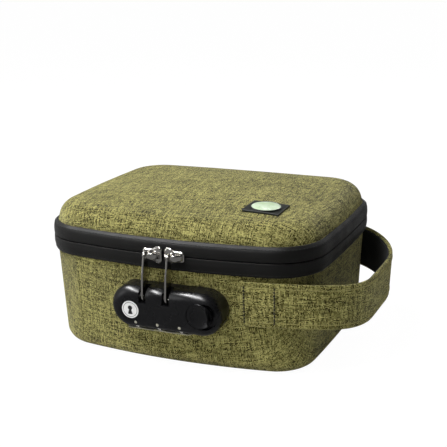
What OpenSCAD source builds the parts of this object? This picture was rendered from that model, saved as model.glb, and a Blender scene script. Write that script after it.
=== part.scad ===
// Small hard-shell carrying case with a zip, a three-dial zip lock on its front and a fabric grab handle.
// Millimetres. +X is the handle end, -Y is the lock side, +Z is up. The origin is the middle of the bottom.

/* [Case] */
// Width over the zip band, left to right
band_w = 190; // [180:1:200]
// Depth over the zip band, front to back
band_d = 158.4; // [150:0.2:168]
// Height of the closed case
case_h = 102.6; // [98:0.2:110]
// Plan radius of the four corners, at the zip band
corner_r = 33; // [30:1:38]
// Radius of the outward bow of the front
front_bow_r = 400; // [350:10:700]
// Radius of the outward bow of the back
back_bow_r = 1500; // [1200:50:3000]
// Radius of the outward bow of both ends
side_bow_r = 900; // [700:50:2000]
// How far the base wall leans in from its rim to its foot
base_lean = 2.9; // [2.5:0.1:5]
// Radius of the base's bottom edge
base_edge_r = 10; // [9:0.5:14]
// Radius of the lid's top edge
lid_edge_r = 13; // [10:0.5:14]
// Thickness of the moulded foam wall with its cloth
shell_t = 4; // [3:0.1:4]
// Thickness of the lining
lining_t = 0.8; // [0.5:0.1:0.9]

/* [Zip] */
// Lower edge of the zip band
zip_low = 65; // [62:0.5:66]
// Upper edge of the zip band
zip_high = 84; // [83:0.5:86]
// How far the band stands proud of the base wall
band_proud = 2.4; // [2:0.1:3]
// How far the band stands proud of the lid wall
lid_inset = 3.4; // [3:0.1:4]
// Place of the left slider along the front
left_slider_x = -5.9; // [-7.5:0.1:-5]
// Place of the right slider along the front
right_slider_x = 9.1; // [8.2:0.1:10]
// Lean of the two pullers, out towards the lock's slots
puller_lean = 6; // [5:0.5:7]

/* [Lock] */
// Middle of the lock along the front
lock_x = 5.2; // [4.8:0.1:5.8]
// Middle of the lock above the bottom
lock_z = 42; // [41.8:0.1:43]
// Length of the lock
lock_w = 74.2; // [73.6:0.2:76]
// Height of the lock
lock_h = 27.6; // [27.6:0.2:29]
// How far the lock stands out of the wall
lock_t = 14.6; // [14.6:0.2:15.4]
// Travel of the release button and latch
latch_travel = 3.2; // [3:0.1:3.2]

/* [Handle] */
// Width of the handle strap
strap_h = 29; // [26:0.5:30]
// Middle of the strap above the bottom
strap_z = 48; // [46:0.5:49]
// How far the loop reaches out from the middle of the case
strap_reach = 115; // [112:0.5:122]
// How far the loop hangs down at its outer end
strap_droop = 6.5; // [0:0.5:8]

/* [Badge] */
// Width of the patch on the lid
patch_w = 23.9; // [22:0.1:25]
// Depth of the patch on the lid
patch_d = 21; // [20.5:0.1:24]
// Diameter of the round dome on the patch
dome_d = 20; // [18:0.5:21]

/* [Hidden] */

half_w = band_w / 2;
half_d = band_d / 2;
zip_mid = (zip_low + zip_high) / 2;
front_steps = 8;     // segments of the front's bow
corner_steps = 8;    // segments of each corner
end_steps = 4;       // segments of the back's bow and of each end's
edge_steps = 6;      // segments of a rounded edge, seen from the side
gap = 0.06;          // air between two pieces that only touch
fit = 0.03;          // radial clearance of a pin or a shaft that turns
base_rim = zip_mid - 5.2;    // top of the lower foam shell, behind the zip tape
lid_rim = zip_mid + 5.2;     // bottom of the upper foam shell
tape_t = 1.3;
lining_gap = 0.2;    // air between the foam and the lining
slit = 0.35;         // half of the slit between the two tapes
coil_h = 1.7;
coil_t = 1.7;

// ---------- plan outline: a rectangle with bowed sides and round corners ----------
function arc_centre_y(bow_r) = bow_r - half_d;
end_centre_x = half_w - side_bow_r;
// Centre of the corner circle that touches the end's arc and the arc whose centre is at height cy
function corner_centre(bow_r) =
    let (y0 = arc_centre_y(bow_r),
         r0 = bow_r - corner_r,
         r1 = side_bow_r - corner_r,
         d = norm([end_centre_x, -y0]),
         a = (r0 * r0 - r1 * r1 + d * d) / (2 * d),
         h = sqrt(r0 * r0 - a * a),
         ux = end_centre_x / d,
         uy = -y0 / d)
    [a * ux - h * uy, y0 + a * uy + h * ux];
front_corner = corner_centre(front_bow_r);
back_corner = corner_centre(back_bow_r);
// Half angles of the bowed sides, seen from the centres of their arcs
front_half = atan2(front_corner[0], arc_centre_y(front_bow_r) - front_corner[1]);
back_half = atan2(back_corner[0], arc_centre_y(back_bow_r) - back_corner[1]);
end_front = atan2(-front_corner[1], front_corner[0] - end_centre_x);
end_back = atan2(-back_corner[1], back_corner[0] - end_centre_x);

function arc(c, r, a0, a1, n, last = 0) =
    [for (i = [0 : n - 1 + last]) let (a = a0 + (a1 - a0) * i / n) [c[0] + r * cos(a), c[1] + r * sin(a)]];
function front_side(i) =
    arc([0, arc_centre_y(front_bow_r)], front_bow_r - i, -90 - front_half, -90 + front_half, front_steps);
function front_right(i) = arc(front_corner, corner_r - i, -90 + front_half, -end_front, corner_steps);
function right_end(i) = arc([end_centre_x, 0], side_bow_r - i, -end_front, end_back, end_steps);
function back_right(i, last = 0) =
    arc([back_corner[0], -back_corner[1]], corner_r - i, end_back, 90 - back_half, corner_steps, last);
function back_side(i, last = 0) =
    arc([0, -arc_centre_y(back_bow_r)], back_bow_r - i, 90 - back_half, 90 + back_half, end_steps, last);
function back_left(i) =
    arc([-back_corner[0], -back_corner[1]], corner_r - i, 90 + back_half, 180 - end_back, corner_steps);
function left_end(i) = arc([-end_centre_x, 0], side_bow_r - i, 180 - end_back, 180 + end_front, end_steps);
function front_left(i) =
    arc([-front_corner[0], front_corner[1]], corner_r - i, 180 + end_front, 270 - front_half, corner_steps);
// The whole outline, inset by i from the band's outer face, anticlockwise from the front's left end
function outline(i) = concat(front_side(i), front_right(i), right_end(i), back_right(i), back_side(i),
    back_left(i), left_end(i), front_left(i));
// The stretch that the zip runs along: everything but the back
function zip_path(i) = concat(back_left(i), left_end(i), front_left(i), front_side(i), front_right(i),
    right_end(i), back_right(i, 1));

function ring(i, z, k = 1) = [for (p = outline(i)) [p[0] * k, p[1] * k, z]];

// ---------- lofts: a skin over rings of equal length, closed at both ends ----------
function skin_faces(m, n) = concat(
    [[for (i = [0 : n - 1]) i]],
    [for (k = [0 : m - 2]) for (i = [0 : n - 1]) [k * n + i, (k + 1) * n + i, (k + 1) * n + (i + 1) % n]],
    [for (k = [0 : m - 2]) for (i = [0 : n - 1]) [k * n + i, (k + 1) * n + (i + 1) % n, k * n + (i + 1) % n]],
    [[for (i = [n - 1 : -1 : 0]) (m - 1) * n + i]]);
module loft(rings) {
    polyhedron(points = [for (r = rings) each r], faces = skin_faces(len(rings), len(rings[0])), convexity = 8);
}
// A strip of constant section along a path: section holds [inset, z] pairs
module strip(section, paths) {
    stations = len(paths[0]);
    loft([for (j = [0 : stations - 1]) [for (q = [0 : len(section) - 1])
        [paths[q][j][0], paths[q][j][1], section[q][1]]]]);
}

// ---------- shells ----------
base_wall = [band_proud, band_proud + base_lean];
// Rings of the base's surface, t inside its outer face, from the middle of the foot up to the rim
function base_rings(t, rim) = concat(
    [for (s = [0 : edge_steps]) let (a = 90 * s / edge_steps, r = base_edge_r - t)
        ring(base_wall[1] + base_edge_r - r * sin(a), base_edge_r - r * cos(a))],
    [ring(base_wall[0] + t, zip_low), ring(base_wall[0] + t, rim)]);
function reversed(v) = [for (i = [len(v) - 1 : -1 : 0]) v[i]];

crown_slope = 10;    // slope where the lid's round edge meets its crowned top
lid_lean = 0.5;
lid_top_inset = lid_inset + lid_lean + lid_edge_r * (1 - sin(crown_slope));
crown_rise = (half_d - lid_top_inset) * tan(crown_slope) / 2;
lid_edge_z = case_h - crown_rise - lid_edge_r * cos(crown_slope);
crown_shares = [0.82, 0.62, 0.4, 0.16];
// Rings of the lid's surface, t inside its outer face, from the rim up to the middle of the top
function lid_rings(t, rim) = concat(
    [ring(lid_inset + t, rim), ring(lid_inset + t, zip_high)],
    [for (s = [0 : edge_steps]) let (a = (90 - crown_slope) * s / edge_steps, r = lid_edge_r - t)
        ring(lid_inset + lid_lean + lid_edge_r - r * cos(a), lid_edge_z + r * sin(a))],
    [for (k = crown_shares)
        ring(lid_top_inset + t * sin(crown_slope), case_h - t - crown_rise * k * k, k)]);

// ---------- the lock's own frame: origin on the wall, +Z up along the wall, -Y out of it ----------
wall_lean = atan(base_lean / (zip_low - base_edge_r));
wall_y = -half_d + band_proud + base_lean * (zip_low - lock_z) / (zip_low - base_edge_r);
module lock_frame() {
    translate([lock_x, wall_y, lock_z]) rotate([wall_lean, 0, 0]) children();
}
// A bar with half-round ends: w long, h high, from depth y0 to y1
module pill(w, h, y0, y1) {
    translate([0, y1, 0]) rotate([90, 0, 0]) linear_extrude(y1 - y0) {
        square([w - h, h], center = true);
        for (s = [-1, 1]) translate([s * (w - h) / 2, 0]) circle(d = h, $fn = 64);
    }
}
module box(x, y, z) {
    translate([x[0], y[0], z[0]]) cube([x[1] - x[0], y[1] - y[0], z[1] - z[0]]);
}
// A rod along X or Y
module rod_x(r, x, y, z) {
    translate([x[0], y, z]) rotate([0, 90, 0]) cylinder(r = r, h = x[1] - x[0], $fn = 48);
}
module rod_y(r, x, y, z) {
    translate([x, y[1], z]) rotate([90, 0, 0]) cylinder(r = r, h = y[1] - y[0], $fn = 48);
}

skirt = 3.2;              // depth of the housing let into the wall
land = 5;                 // depth of the inner seat, where the back plate clamps the wall
seat_air = 0.7;
collar_w = lock_w - 8.4;  // the neck that passes through the wall
collar_h = lock_h - 8.4;
plate_w = lock_w + 8;
plate_h = lock_h + 8;
plate_t = 1.6;
front_edge_r = 6.2;
front_wall = 2.2;
cavity_w = lock_w - 5.6;
cavity_h = lock_h - 5.6;
dial_r = 6.2;
dial_w = 8.4;
dial_pitch = 14.9;
dial_x = -19.3;           // first dial, from the lock's middle
dial_y = -6.9;
dial_z = -9;
dial_air = 0.35;
axle_r = 1.5;
axle_x = [-28, 20.7];
axle_ribs = [[-28.6, -26.2], [18.6, 20.8]];
cam_r = 2.6;
fence_r = 4;              // notched disc that the latch's teeth pass
fence_x = [6.3, 7.3];     // its place beside the dial's middle
tooth_x = [4.8, 5.8];
notch_w = 2.8;
slot_w = 5;
slot_floor = 4.6;
slot_depth = -4.5;
puller_x = [-8.8, 7];
pin_r = 1.2;
bar_y = [-9.4, -5.4];
bar_z = [-1.6, 0.1];
button_x = 23.7;
button_z = 0.5;
button_r = 8.1;
button_floor = -lock_t + 3.4;
stem = 5;
tenon = 3;                // end of the stem, riveted into the latch bar
badge_x = -22.5;
badge_z = -0.6;
badge_r = 5.7;
post_places = [[-28.4, 4.2], [27.6, 5.8], [27.6, -5.8]];
post_r = 2.2;
screw_r = 1.3;
screw_tip = -3;
trim_t = 0.4;
trim_x = [-27.4, 16.6];

function dial_at(i) = dial_x + dial_pitch * i;
function slot_at(i) = puller_x[i] - lock_x;

// The hollow in the wall that holds the lock
module lock_seat() {
    lock_frame() {
        pill(lock_w + seat_air, lock_h + seat_air, -10, skirt + 0.1);
        pill(collar_w + seat_air, collar_h + seat_air, 0, land + 8);
        pill(plate_w + seat_air, plate_h + seat_air, land, land + 8);
    }
}

lining_out = shell_t + lining_gap;
lining_in = lining_out + lining_t;
module lower_shell() {
    color([0.45, 0.45, 0.22]) difference() {
        loft(concat(base_rings(0, base_rim), reversed(base_rings(shell_t, base_rim))));
        lock_seat();
    }
}
module lower_lining() {
    color([0.07, 0.07, 0.07]) difference() {
        loft(concat(base_rings(lining_out, base_rim), reversed(base_rings(lining_in, base_rim))));
        lock_seat();
    }
}
module upper_shell() {
    color([0.5, 0.5, 0.26]) difference() {
        loft(concat(reversed(lid_rings(shell_t, lid_rim)), lid_rings(0, lid_rim)));
        patch_frame() cube([patch_w + 0.2, patch_d + 0.2, 2 * patch_sunk], center = true);
    }
}
module upper_lining() {
    color([0.07, 0.07, 0.07])
        loft(concat(reversed(lid_rings(lining_in, lid_rim)), lid_rings(lining_out, lid_rim)));
}

// ---------- zip ----------
// Outer face of the tape as [inset, height above the band's lower edge], fullest beside the slit
tape_bulge = [[band_proud - tape_t - gap, 0], [0.45, 2.4], [0, 5.2], [0.1, 7.6]];
tape_edge = zip_mid - zip_low - slit;
lower_tape_out = concat([for (q = tape_bulge) [q[0], zip_low + q[1]]], [[0.5, zip_low + tape_edge]]);
upper_tape_out = concat([[0.5, zip_mid + slit]],
    [for (q = reversed(tape_bulge)) [q[0] + (q[1] == 0 ? lid_inset - band_proud : 0), zip_high - q[1]]]);
function tape_section(out) = concat(out, [for (q = reversed(out)) [q[0] + tape_t, q[1]]]);
module tape(out) {
    section = tape_section(out);
    color([0.08, 0.08, 0.09]) strip(section, [for (q = section) zip_path(q[0])]);
}
module lower_zip_tape() { tape(lower_tape_out); }
module upper_zip_tape() { tape(upper_tape_out); }

// Teeth bead along the tape's edge, on its inner face
module coil(z0) {
    i0 = 0.5 + tape_t + gap;
    section = [[i0, z0 + 0.3], [i0, z0 + coil_h - 0.3], [i0 + 0.4, z0 + coil_h], [i0 + coil_t - 0.4, z0 + coil_h],
        [i0 + coil_t, z0 + coil_h - 0.4], [i0 + coil_t, z0 + 0.4], [i0 + coil_t - 0.4, z0], [i0 + 0.4, z0]];
    color([0.1, 0.1, 0.1]) strip(section, [for (q = section) zip_path(q[0])]);
}
module lower_zip_coil() { coil(zip_mid - slit * 0.8 - coil_h); }
module upper_zip_coil() { coil(zip_mid + slit * 0.8); }

// Cloth hinge that joins the two shells along the back
hinge_t = 1.4;
module hinge_strip() {
    out = [[band_proud - hinge_t - gap, zip_low], [0.3, zip_low + 3], [0, zip_mid], [0.3, zip_high - 3],
        [lid_inset - hinge_t - gap, zip_high]];
    section = concat(out, [for (q = reversed(out)) [q[0] + hinge_t, q[1]]]);
    color([0.45, 0.45, 0.22]) strip(section, [for (q = section) back_side(q[0], 1)]);
}

// ---------- handle ----------
strap_t = 2.2;
web_t = 1;
strap_wall = band_proud + base_lean * (zip_low - strap_z) / (zip_low - base_edge_r);
sewn_x = [49.5, 71];     // stretch of the strap that is sewn down
function bezier(a, b, c, d, t) =
    a * pow(1 - t, 3) + b * 3 * t * pow(1 - t, 2) + c * 3 * t * t * (1 - t) + d * pow(t, 3);
// The wall's face at x, sy = -1 front or 1 back
function wall_face(x, sy) =
    let (bow = sy < 0 ? front_bow_r : back_bow_r,
         c = sy < 0 ? front_corner : back_corner,
         r = bow - strap_wall,
         rc = corner_r - strap_wall,
         on_corner = x > c[0] * r / (bow - corner_r))
    [x, sy * (on_corner ? -c[1] + sqrt(rc * rc - pow(x - c[0], 2)) : sqrt(r * r - x * x) - arc_centre_y(bow))];
free_steps = 10;
function half_loop(sy) =
    let (p0 = wall_face(sewn_x[1], sy),
         p1 = p0 + [20, sy * -5],
         p3 = [strap_reach - strap_t / 2, sy * 16],
         p2 = p3 + [0, sy * 34])
    concat([for (s = [0 : 4]) wall_face(sewn_x[0] + (sewn_x[1] - sewn_x[0]) * s / 5, sy)],
        [for (s = [0 : free_steps]) bezier(p0, p1, p2, p3, s / free_steps)]);
loop = concat(half_loop(-1), reversed(half_loop(1)));
loop_last = len(loop) - 1;
// Outward normal of the loop at point j
function loop_normal(j) =
    let (d = loop[min(j + 1, loop_last)] - loop[max(j - 1, 0)]) [d[1], -d[0]] / norm(d);
function droop_at(x) = strap_droop * pow(max(0, (x - sewn_x[1]) / (strap_reach - sewn_x[1])), 2);
// A ribbon between two distances from the wall, leaning as the wall does
module ribbon(off0, off1, trim) {
    half = strap_h / 2 - trim;
    round = min(0.5, (off1 - off0) / 3);
    section = [[off1, round - half], [off1, half - round], [off1 - round, half], [off0 + round, half],
        [off0, half - round], [off0, round - half], [off0 + round, -half], [off1 - round, -half]];
    loft([for (j = [0 : loop_last]) [for (q = section)
        let (p = loop[j] + loop_normal(j) * (q[0] + q[1] * tan(wall_lean)))
            [p[0], p[1], strap_z + q[1] - droop_at(loop[j][0])]]]);
}
web_off = 0.25;
strap_off = web_off + web_t + 0.1;
module handle_lining() { color([0.06, 0.06, 0.06]) ribbon(web_off, web_off + web_t, 1.5); }
module handle_strap() { color([0.47, 0.47, 0.24]) ribbon(strap_off, strap_off + strap_t, 0); }

// ---------- lock ----------
// Half of the housing's outline, seen along it, with the rounded front edge
module housing_profile(side) {
    d = lock_t + skirt;
    r = lock_h / 2;
    for (s = side) {
        translate([min(s * (r - front_edge_r), 0), 0]) square([r - front_edge_r, d]);
        translate([min(s * r, 0), 0]) square([r, d - front_edge_r]);
        translate([s * (r - front_edge_r), d - front_edge_r]) circle(r = front_edge_r, $fn = 64);
    }
}
module housing_body() {
    straight = lock_w - lock_h;
    translate([-straight / 2, skirt, 0]) rotate([90, 0, 90]) linear_extrude(straight)
        mirror([1, 0]) rotate(-90) housing_profile([-1, 1]);
    for (s = [-1, 1]) translate([s * straight / 2, skirt, 0]) rotate([90, 0, 0])
        rotate([0, 0, s > 0 ? -90 : 90]) rotate_extrude(angle = 180, $fn = 96) housing_profile([1]);
}
module slot_block(i) {
    box([slot_at(i) - slot_w / 2 - 1.5, slot_at(i) + slot_w / 2 + 1.5], [-lock_t + 1, slot_depth + 1.5],
        [slot_floor - 1.3, lock_h / 2 - 1.5]);
}
module lock_housing() {
    scoop_r = 8;
    scoop_rise = 2.4;
    color([0.06, 0.06, 0.065]) lock_frame() difference() {
        union() {
            difference() {
                housing_body();
                pill(cavity_w, cavity_h, -lock_t + front_wall, skirt + 1);
            }
            difference() {
                pill(collar_w, collar_h, skirt - 2, land - 0.1);
                pill(collar_w - 3, collar_h - 3, skirt - 3, land + 1);
            }
            // rim that closes the step between the wide cavity and the neck
            difference() {
                pill(cavity_w + 1, cavity_h + 1, skirt - 2, skirt);
                pill(collar_w - 3, collar_h - 3, skirt - 3, skirt + 1);
            }
            for (p = post_places) rod_y(post_r, p[0], [-lock_t + 1, land - 0.1], p[1]);
            intersection() {
                housing_body();
                union() {
                    for (i = [0, 1]) slot_block(i);
                    // thick floor under the button
                    for (x = [button_x, button_x + latch_travel])
                        rod_y(button_r + 1.4, x, [-lock_t + 1, button_floor + 1.6], button_z);
                    // ribs that carry the dials' axle
                    for (x = axle_ribs) box(x, [-lock_t + 1, -4], [dial_z - 4, dial_z + 2.8]);
                }
            }
        }
        for (i = [0, 1]) box([slot_at(i) - slot_w / 2, slot_at(i) + slot_w / 2], [-lock_t - 1, slot_depth],
            [slot_floor, lock_h]);
        for (i = [0, 1])
            rod_x(pin_r + 0.25, [slot_at(i) - slot_w / 2 - 2, slot_at(i) + slot_w / 2 + 0.9], pin_y, pin_z);
        for (i = [0 : 2]) rod_x(dial_r + dial_air, [dial_at(i) - dial_w / 2 - dial_air, dial_at(i) + dial_w / 2 + dial_air],
            dial_y, dial_z);
        for (i = [0 : 2]) translate([dial_at(i), -8, -lock_h / 2 - scoop_r + scoop_rise]) rotate([90, 0, 0])
            cylinder(r = scoop_r, h = 12, $fn = 64);
        // room for the notched discs beside the dials
        for (i = [0 : 2]) rod_x(fence_r + 0.25, [dial_at(i) + dial_w / 2, dial_at(i) + fence_x[1] + 0.4], dial_y, dial_z);
        rod_x(axle_r + 0.02, [axle_x[0] - 0.1, axle_x[1] + 0.1], dial_y, dial_z);
        // recess of the button and the slot for its stem
        rod_y(button_r + 0.3, button_x, [-lock_t - 1, button_floor], button_z);
        rod_y(button_r + 0.3, button_x + latch_travel, [-lock_t - 1, button_floor], button_z);
        box([button_x, button_x + latch_travel], [-lock_t - 1, button_floor],
            [button_z - button_r - 0.3, button_z + button_r + 0.3]);
        box([button_x - stem / 2 - 0.3, button_x + stem / 2 + latch_travel + 0.3], [-lock_t, -5],
            [button_z - stem / 2 - 0.2, button_z + stem / 2 + 0.2]);
        rod_y(badge_r + 0.05, badge_x, [-lock_t - 1, -lock_t + 0.9], badge_z);
        for (i = [0 : 2]) rod_y(pip_r + 0.02, dial_at(i), [-lock_t - 1, -lock_t + pip_depth + 0.05], pip_z);
        for (p = post_places) rod_y(screw_r + 0.02, p[0], [screw_tip - 0.5, land + 1], p[1]);
    }
}
pip_r = 0.9;
pip_depth = 0.7;
pip_z = -8.7;
module index_pins() {
    color([0.8, 0.8, 0.78]) lock_frame()
        for (i = [0 : 2]) rod_y(pip_r, dial_at(i), [-lock_t - 0.05, -lock_t + pip_depth], pip_z);
}
module lock_badge() {
    color([0.93, 0.93, 0.93]) lock_frame() rod_y(badge_r, badge_x, [-lock_t - 0.1, -lock_t + 0.85], badge_z);
}
module dial_trim() {
    mid = (trim_x[0] + trim_x[1]) / 2;
    trim_deep = 10.8;
    trim_y = -6.2;
    color([0.62, 0.61, 0.55]) lock_frame() difference() {
        translate([mid, trim_y, -lock_h / 2 - trim_t / 2]) union() {
            cube([trim_x[1] - trim_x[0] - 6, trim_deep, trim_t], center = true);
            cube([trim_x[1] - trim_x[0], trim_deep - 6, trim_t], center = true);
            for (sx = [-1, 1]) for (sy = [-1, 1])
                translate([sx * ((trim_x[1] - trim_x[0]) / 2 - 3), sy * (trim_deep / 2 - 3), 0])
                    cylinder(r = 3, h = trim_t, center = true, $fn = 32);
        }
        for (i = [0 : 2]) rod_x(dial_r + dial_air, [dial_at(i) - dial_w / 2 - dial_air, dial_at(i) + dial_w / 2 + dial_air],
            dial_y, dial_z);
    }
}
module lock_back_plate() {
    color([0.2, 0.2, 0.2]) lock_frame() difference() {
        pill(plate_w, plate_h, land + gap, land + gap + plate_t);
        for (p = post_places) rod_y(1.6, p[0], [0, land + 5], p[1]);
    }
}
module lock_screws() {
    color([0.7, 0.7, 0.7]) lock_frame() for (p = post_places) difference() {
        union() {
            rod_y(screw_r, p[0], [screw_tip, land + plate_t + 1], p[1]);
            rod_y(2.7, p[0], [land + plate_t + 2 * gap, land + plate_t + 1.7], p[1]);
        }
        box([p[0] - 2, p[0] + 2], [land + plate_t + 0.9, land + plate_t + 3], [p[1] - 0.35, p[1] + 0.35]);
        box([p[0] - 0.35, p[0] + 0.35], [land + plate_t + 0.9, land + plate_t + 3], [p[1] - 2, p[1] + 2]);
    }
}
module dial_axle() {
    color([0.7, 0.7, 0.72]) lock_frame() rod_x(axle_r, axle_x, dial_y, dial_z);
}
// Ten-sided thumb wheel with a groove between the digits
module dial(i) {
    color([0.1, 0.1, 0.1]) lock_frame() translate([dial_at(i), dial_y, dial_z]) rotate([0, 90, 0]) difference() {
        cylinder(r = dial_r, h = dial_w, center = true, $fn = 64);
        cylinder(r = cam_r + 0.02, h = dial_w + 1, center = true, $fn = 48);
        for (k = [0 : 9]) rotate(36 * k + 18) translate([dial_r + 0.35, 0, 0])
            cylinder(r = 0.7, h = dial_w + 1, center = true, $fn = 24);
    }
}
// Sleeve inside a dial, with the notched disc that frees the latch
module cam(i) {
    color([0.75, 0.65, 0.4]) lock_frame() translate([dial_at(i), dial_y, dial_z]) difference() {
        union() {
            rod_x(cam_r, [-dial_w / 2, fence_x[1]], 0, 0);
            rod_x(fence_r, fence_x, 0, 0);
        }
        rod_x(axle_r + fit, [-dial_w, dial_w + 4], 0, 0);
        box([fence_x[0] - 1, fence_x[1] + 1], [-notch_w / 2, notch_w / 2], [cam_r + 0.2, fence_r + 1]);
    }
}
// Leaf spring behind the dials that clicks into their grooves
module detent_spring() {
    y = dial_y + dial_r + 0.2;
    foot = [dial_z + 1.7, dial_z + 3.9];
    color([0.75, 0.75, 0.75]) lock_frame() {
        box([dial_at(0) - 4, dial_at(2) + 4], [y, y + 0.4], [dial_z - 1.2, dial_z + 4]);
        for (x = [dial_at(0) - 3.9, dial_at(2) + 3.5]) box([x, x + 0.4], [y + 0.3, land], foot);
    }
}
module latch_bar() {
    color([0.72, 0.72, 0.74]) lock_frame() difference() {
        union() {
            box([slot_at(0) - slot_w / 2 - 7.3, button_x], bar_y, bar_z);
            box([button_x - 3.8, button_x + 3.8], [bar_y[0], bar_y[0] + 1.8], [button_z - 2.5, button_z + 2.5]);
            for (i = [0 : 2]) box([dial_at(i) + tooth_x[0], dial_at(i) + tooth_x[1]], [dial_y - 1, dial_y + 1],
                [dial_z + cam_r + 0.5, bar_z[1]]);
            for (i = [0, 1]) {
                face = slot_at(i) - slot_w / 2 - 1.5 - latch_travel - 0.3;
                box([face - 1.6, face], [pin_y - pin_r, bar_y[1]], [bar_z[0], pin_z + pin_r + 0.2]);
                rod_x(pin_r, [face - 0.5, slot_at(i) - slot_w / 2 - 0.03], pin_y, pin_z);
            }
        }
        box([button_x - tenon / 2 - gap, button_x + tenon / 2 + gap], [-lock_t, 0],
            [button_z - tenon / 2 - gap, button_z + tenon / 2 + gap]);
    }
}
module release_button() {
    dish_r = 16;
    color([0.07, 0.07, 0.075]) lock_frame() union() {
        difference() {
            rod_y(button_r, button_x, [-lock_t, button_floor - 0.1], button_z);
            translate([button_x + 0.8, -lock_t - dish_r + 1.7, button_z]) sphere(r = dish_r, $fn = 96);
        }
        box([button_x - stem / 2, button_x + stem / 2], [button_floor - 0.6, bar_y[0] - gap],
            [button_z - stem / 2, button_z + stem / 2]);
        box([button_x - tenon / 2, button_x + tenon / 2], [button_floor, bar_y[0] + 2.4],
            [button_z - tenon / 2, button_z + tenon / 2]);
    }
}

// ---------- sliders and pullers ----------
// Turns a piece made at the middle of the front round to x along the bow
module along_front(x) {
    c = arc_centre_y(front_bow_r);
    translate([0, c, 0]) rotate([0, 0, asin(x / front_bow_r)]) translate([0, -front_bow_r, zip_mid]) children();
}
plate_gap = 0.45;          // air between the slider's plates and the tape
slider_t = 1.1;
slider_l = 13;
slider_wide = 10.6;
slider_narrow = 7.2;
bar_out = 5;               // the bridge's bar, out from the band
bar_r = 0.95;
// Outline of a slider's plate: narrow tail, wide shoulders. s = 1 has its shoulders to the right
module slider_outline(s) {
    for (part = [0, 1]) {
        if (part == 0) polygon([[-s * slider_l / 2 + s, -slider_narrow / 2], [s * 1, -slider_narrow / 2],
            [s * 2.6, -slider_wide / 2], [s * (slider_l / 2 - 1.8), -slider_wide / 2],
            [s * (slider_l / 2), -slider_wide / 2 + 2], [s * (slider_l / 2), slider_wide / 2 - 2],
            [s * (slider_l / 2 - 1.8), slider_wide / 2], [s * 2.6, slider_wide / 2],
            [s * 1, slider_narrow / 2], [-s * slider_l / 2 + s, slider_narrow / 2]]);
        if (part == 1) translate([-s * (slider_l / 2 - 1), 0]) square([1.9, slider_narrow - 1.6], center = true);
    }
}
module slider(x, s) {
    puller_dx = (s > 0 ? puller_x[0] : puller_x[1]) - x;
    color([0.75, 0.75, 0.74]) along_front(x) {
        // outer plate, blade in the slit, inner plate
        translate([0, -plate_gap, 0]) rotate([90, 0, 0]) linear_extrude(slider_t) slider_outline(s);
        translate([0, tape_t + coil_t + 0.5 + plate_gap + slider_t, 0]) rotate([90, 0, 0])
            linear_extrude(slider_t) square([slider_l - 2, 7], center = true);
        box([s > 0 ? 2.5 : -6, s > 0 ? 6 : -2.5], [-plate_gap - 0.2, tape_t + coil_t + 0.6 + plate_gap], [-0.14, 0.14]);
        // bridge: two ears and the bar between them
        for (e = [-1, 1]) box([puller_dx + e * 2.3 - 0.7, puller_dx + e * 2.3 + 0.7],
            [-bar_out - bar_r - 0.3, -plate_gap - slider_t + 0.2], [-1.8, 1.8]);
        rod_x(bar_r, [puller_dx - 2.6, puller_dx + 2.6], -bar_out, 0);
    }
}
module left_slider() { slider(left_slider_x, 1); }
module right_slider() { slider(right_slider_x, -1); }

puller_t = 1.3;
puller_w = 7.6;
puller_len = 28.2;
puller_eye = puller_len - puller_w / 2;
// Where the front band lies at x
function band_y(x) = arc_centre_y(front_bow_r) - sqrt(front_bow_r * front_bow_r - x * x);
// Place of the left puller's eye, where the latch's pin enters it
eye_out = band_y(puller_x[0]) - bar_out - puller_eye * sin(puller_lean) - wall_y;
eye_up = zip_mid - puller_eye * cos(puller_lean) - lock_z;
pin_y = eye_out * cos(wall_lean) + eye_up * sin(wall_lean);
pin_z = eye_up * cos(wall_lean) - eye_out * sin(wall_lean);
module puller(i) {
    top_r = 2.6;
    half = puller_w / 2;
    end = half - puller_len;
    color([0.78, 0.78, 0.77]) translate([puller_x[i], band_y(puller_x[i]) - bar_out, zip_mid])
        rotate([-puller_lean, 0, 0]) rotate([90, 0, 90]) translate([0, 0, -puller_t / 2]) difference() {
            union() {
                cylinder(r = top_r, h = puller_t, $fn = 48);
                linear_extrude(puller_t) polygon([[0.3 - top_r, 0], [top_r - 0.3, 0], [half - 0.8, -6],
                    [half, -11], [half, end], [-half, end], [-half, -11], [0.8 - half, -6]]);
                translate([0, end, 0]) cylinder(r = half, h = puller_t, $fn = 48);
            }
            translate([0, 0, -1]) cylinder(r = bar_r + 0.08, h = puller_t + 2, $fn = 32);
            translate([0, -puller_eye, -1]) cylinder(r = pin_r + 0.85, h = puller_t + 2, $fn = 32);
        }
}
module left_puller() { puller(0); }
module right_puller() { puller(1); }

// ---------- patch on the lid ----------
patch_at = [53.8, -41.1];
patch_share = 0.745;       // how far out from the middle of the lid's top that is
patch_tilt = [2.4, 2.6];   // about the slope of the crowned lid there
patch_sunk = 1.1;          // depth of the seat below the lid's surface
patch_t = 1.7;
dome_t = 1.5;
patch_z = case_h - crown_rise * pow(patch_share, 2);
module patch_frame() {
    translate([patch_at[0], patch_at[1], patch_z]) rotate([patch_tilt[0], patch_tilt[1], 0]) children();
}
module lid_patch() {
    color([0.05, 0.06, 0.05]) patch_frame() translate([0, 0, patch_t / 2 - patch_sunk + gap])
        cube([patch_w, patch_d, patch_t], center = true);
}
module lid_dome() {
    rim = 0.5;
    r = dome_d / 2;
    cap = dome_t - rim;
    ball = (r * r + cap * cap) / (2 * cap);
    color([0.8, 0.88, 0.74]) patch_frame() translate([0, 0, patch_t - patch_sunk + 2 * gap]) intersection() {
        cylinder(r = r, h = dome_t + 1, $fn = 96);
        translate([0, 0, dome_t - ball]) sphere(r = ball, $fn = 360);
        translate([-r, -r, 0]) cube([2 * r, 2 * r, dome_t + 1]);
    }
}

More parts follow.
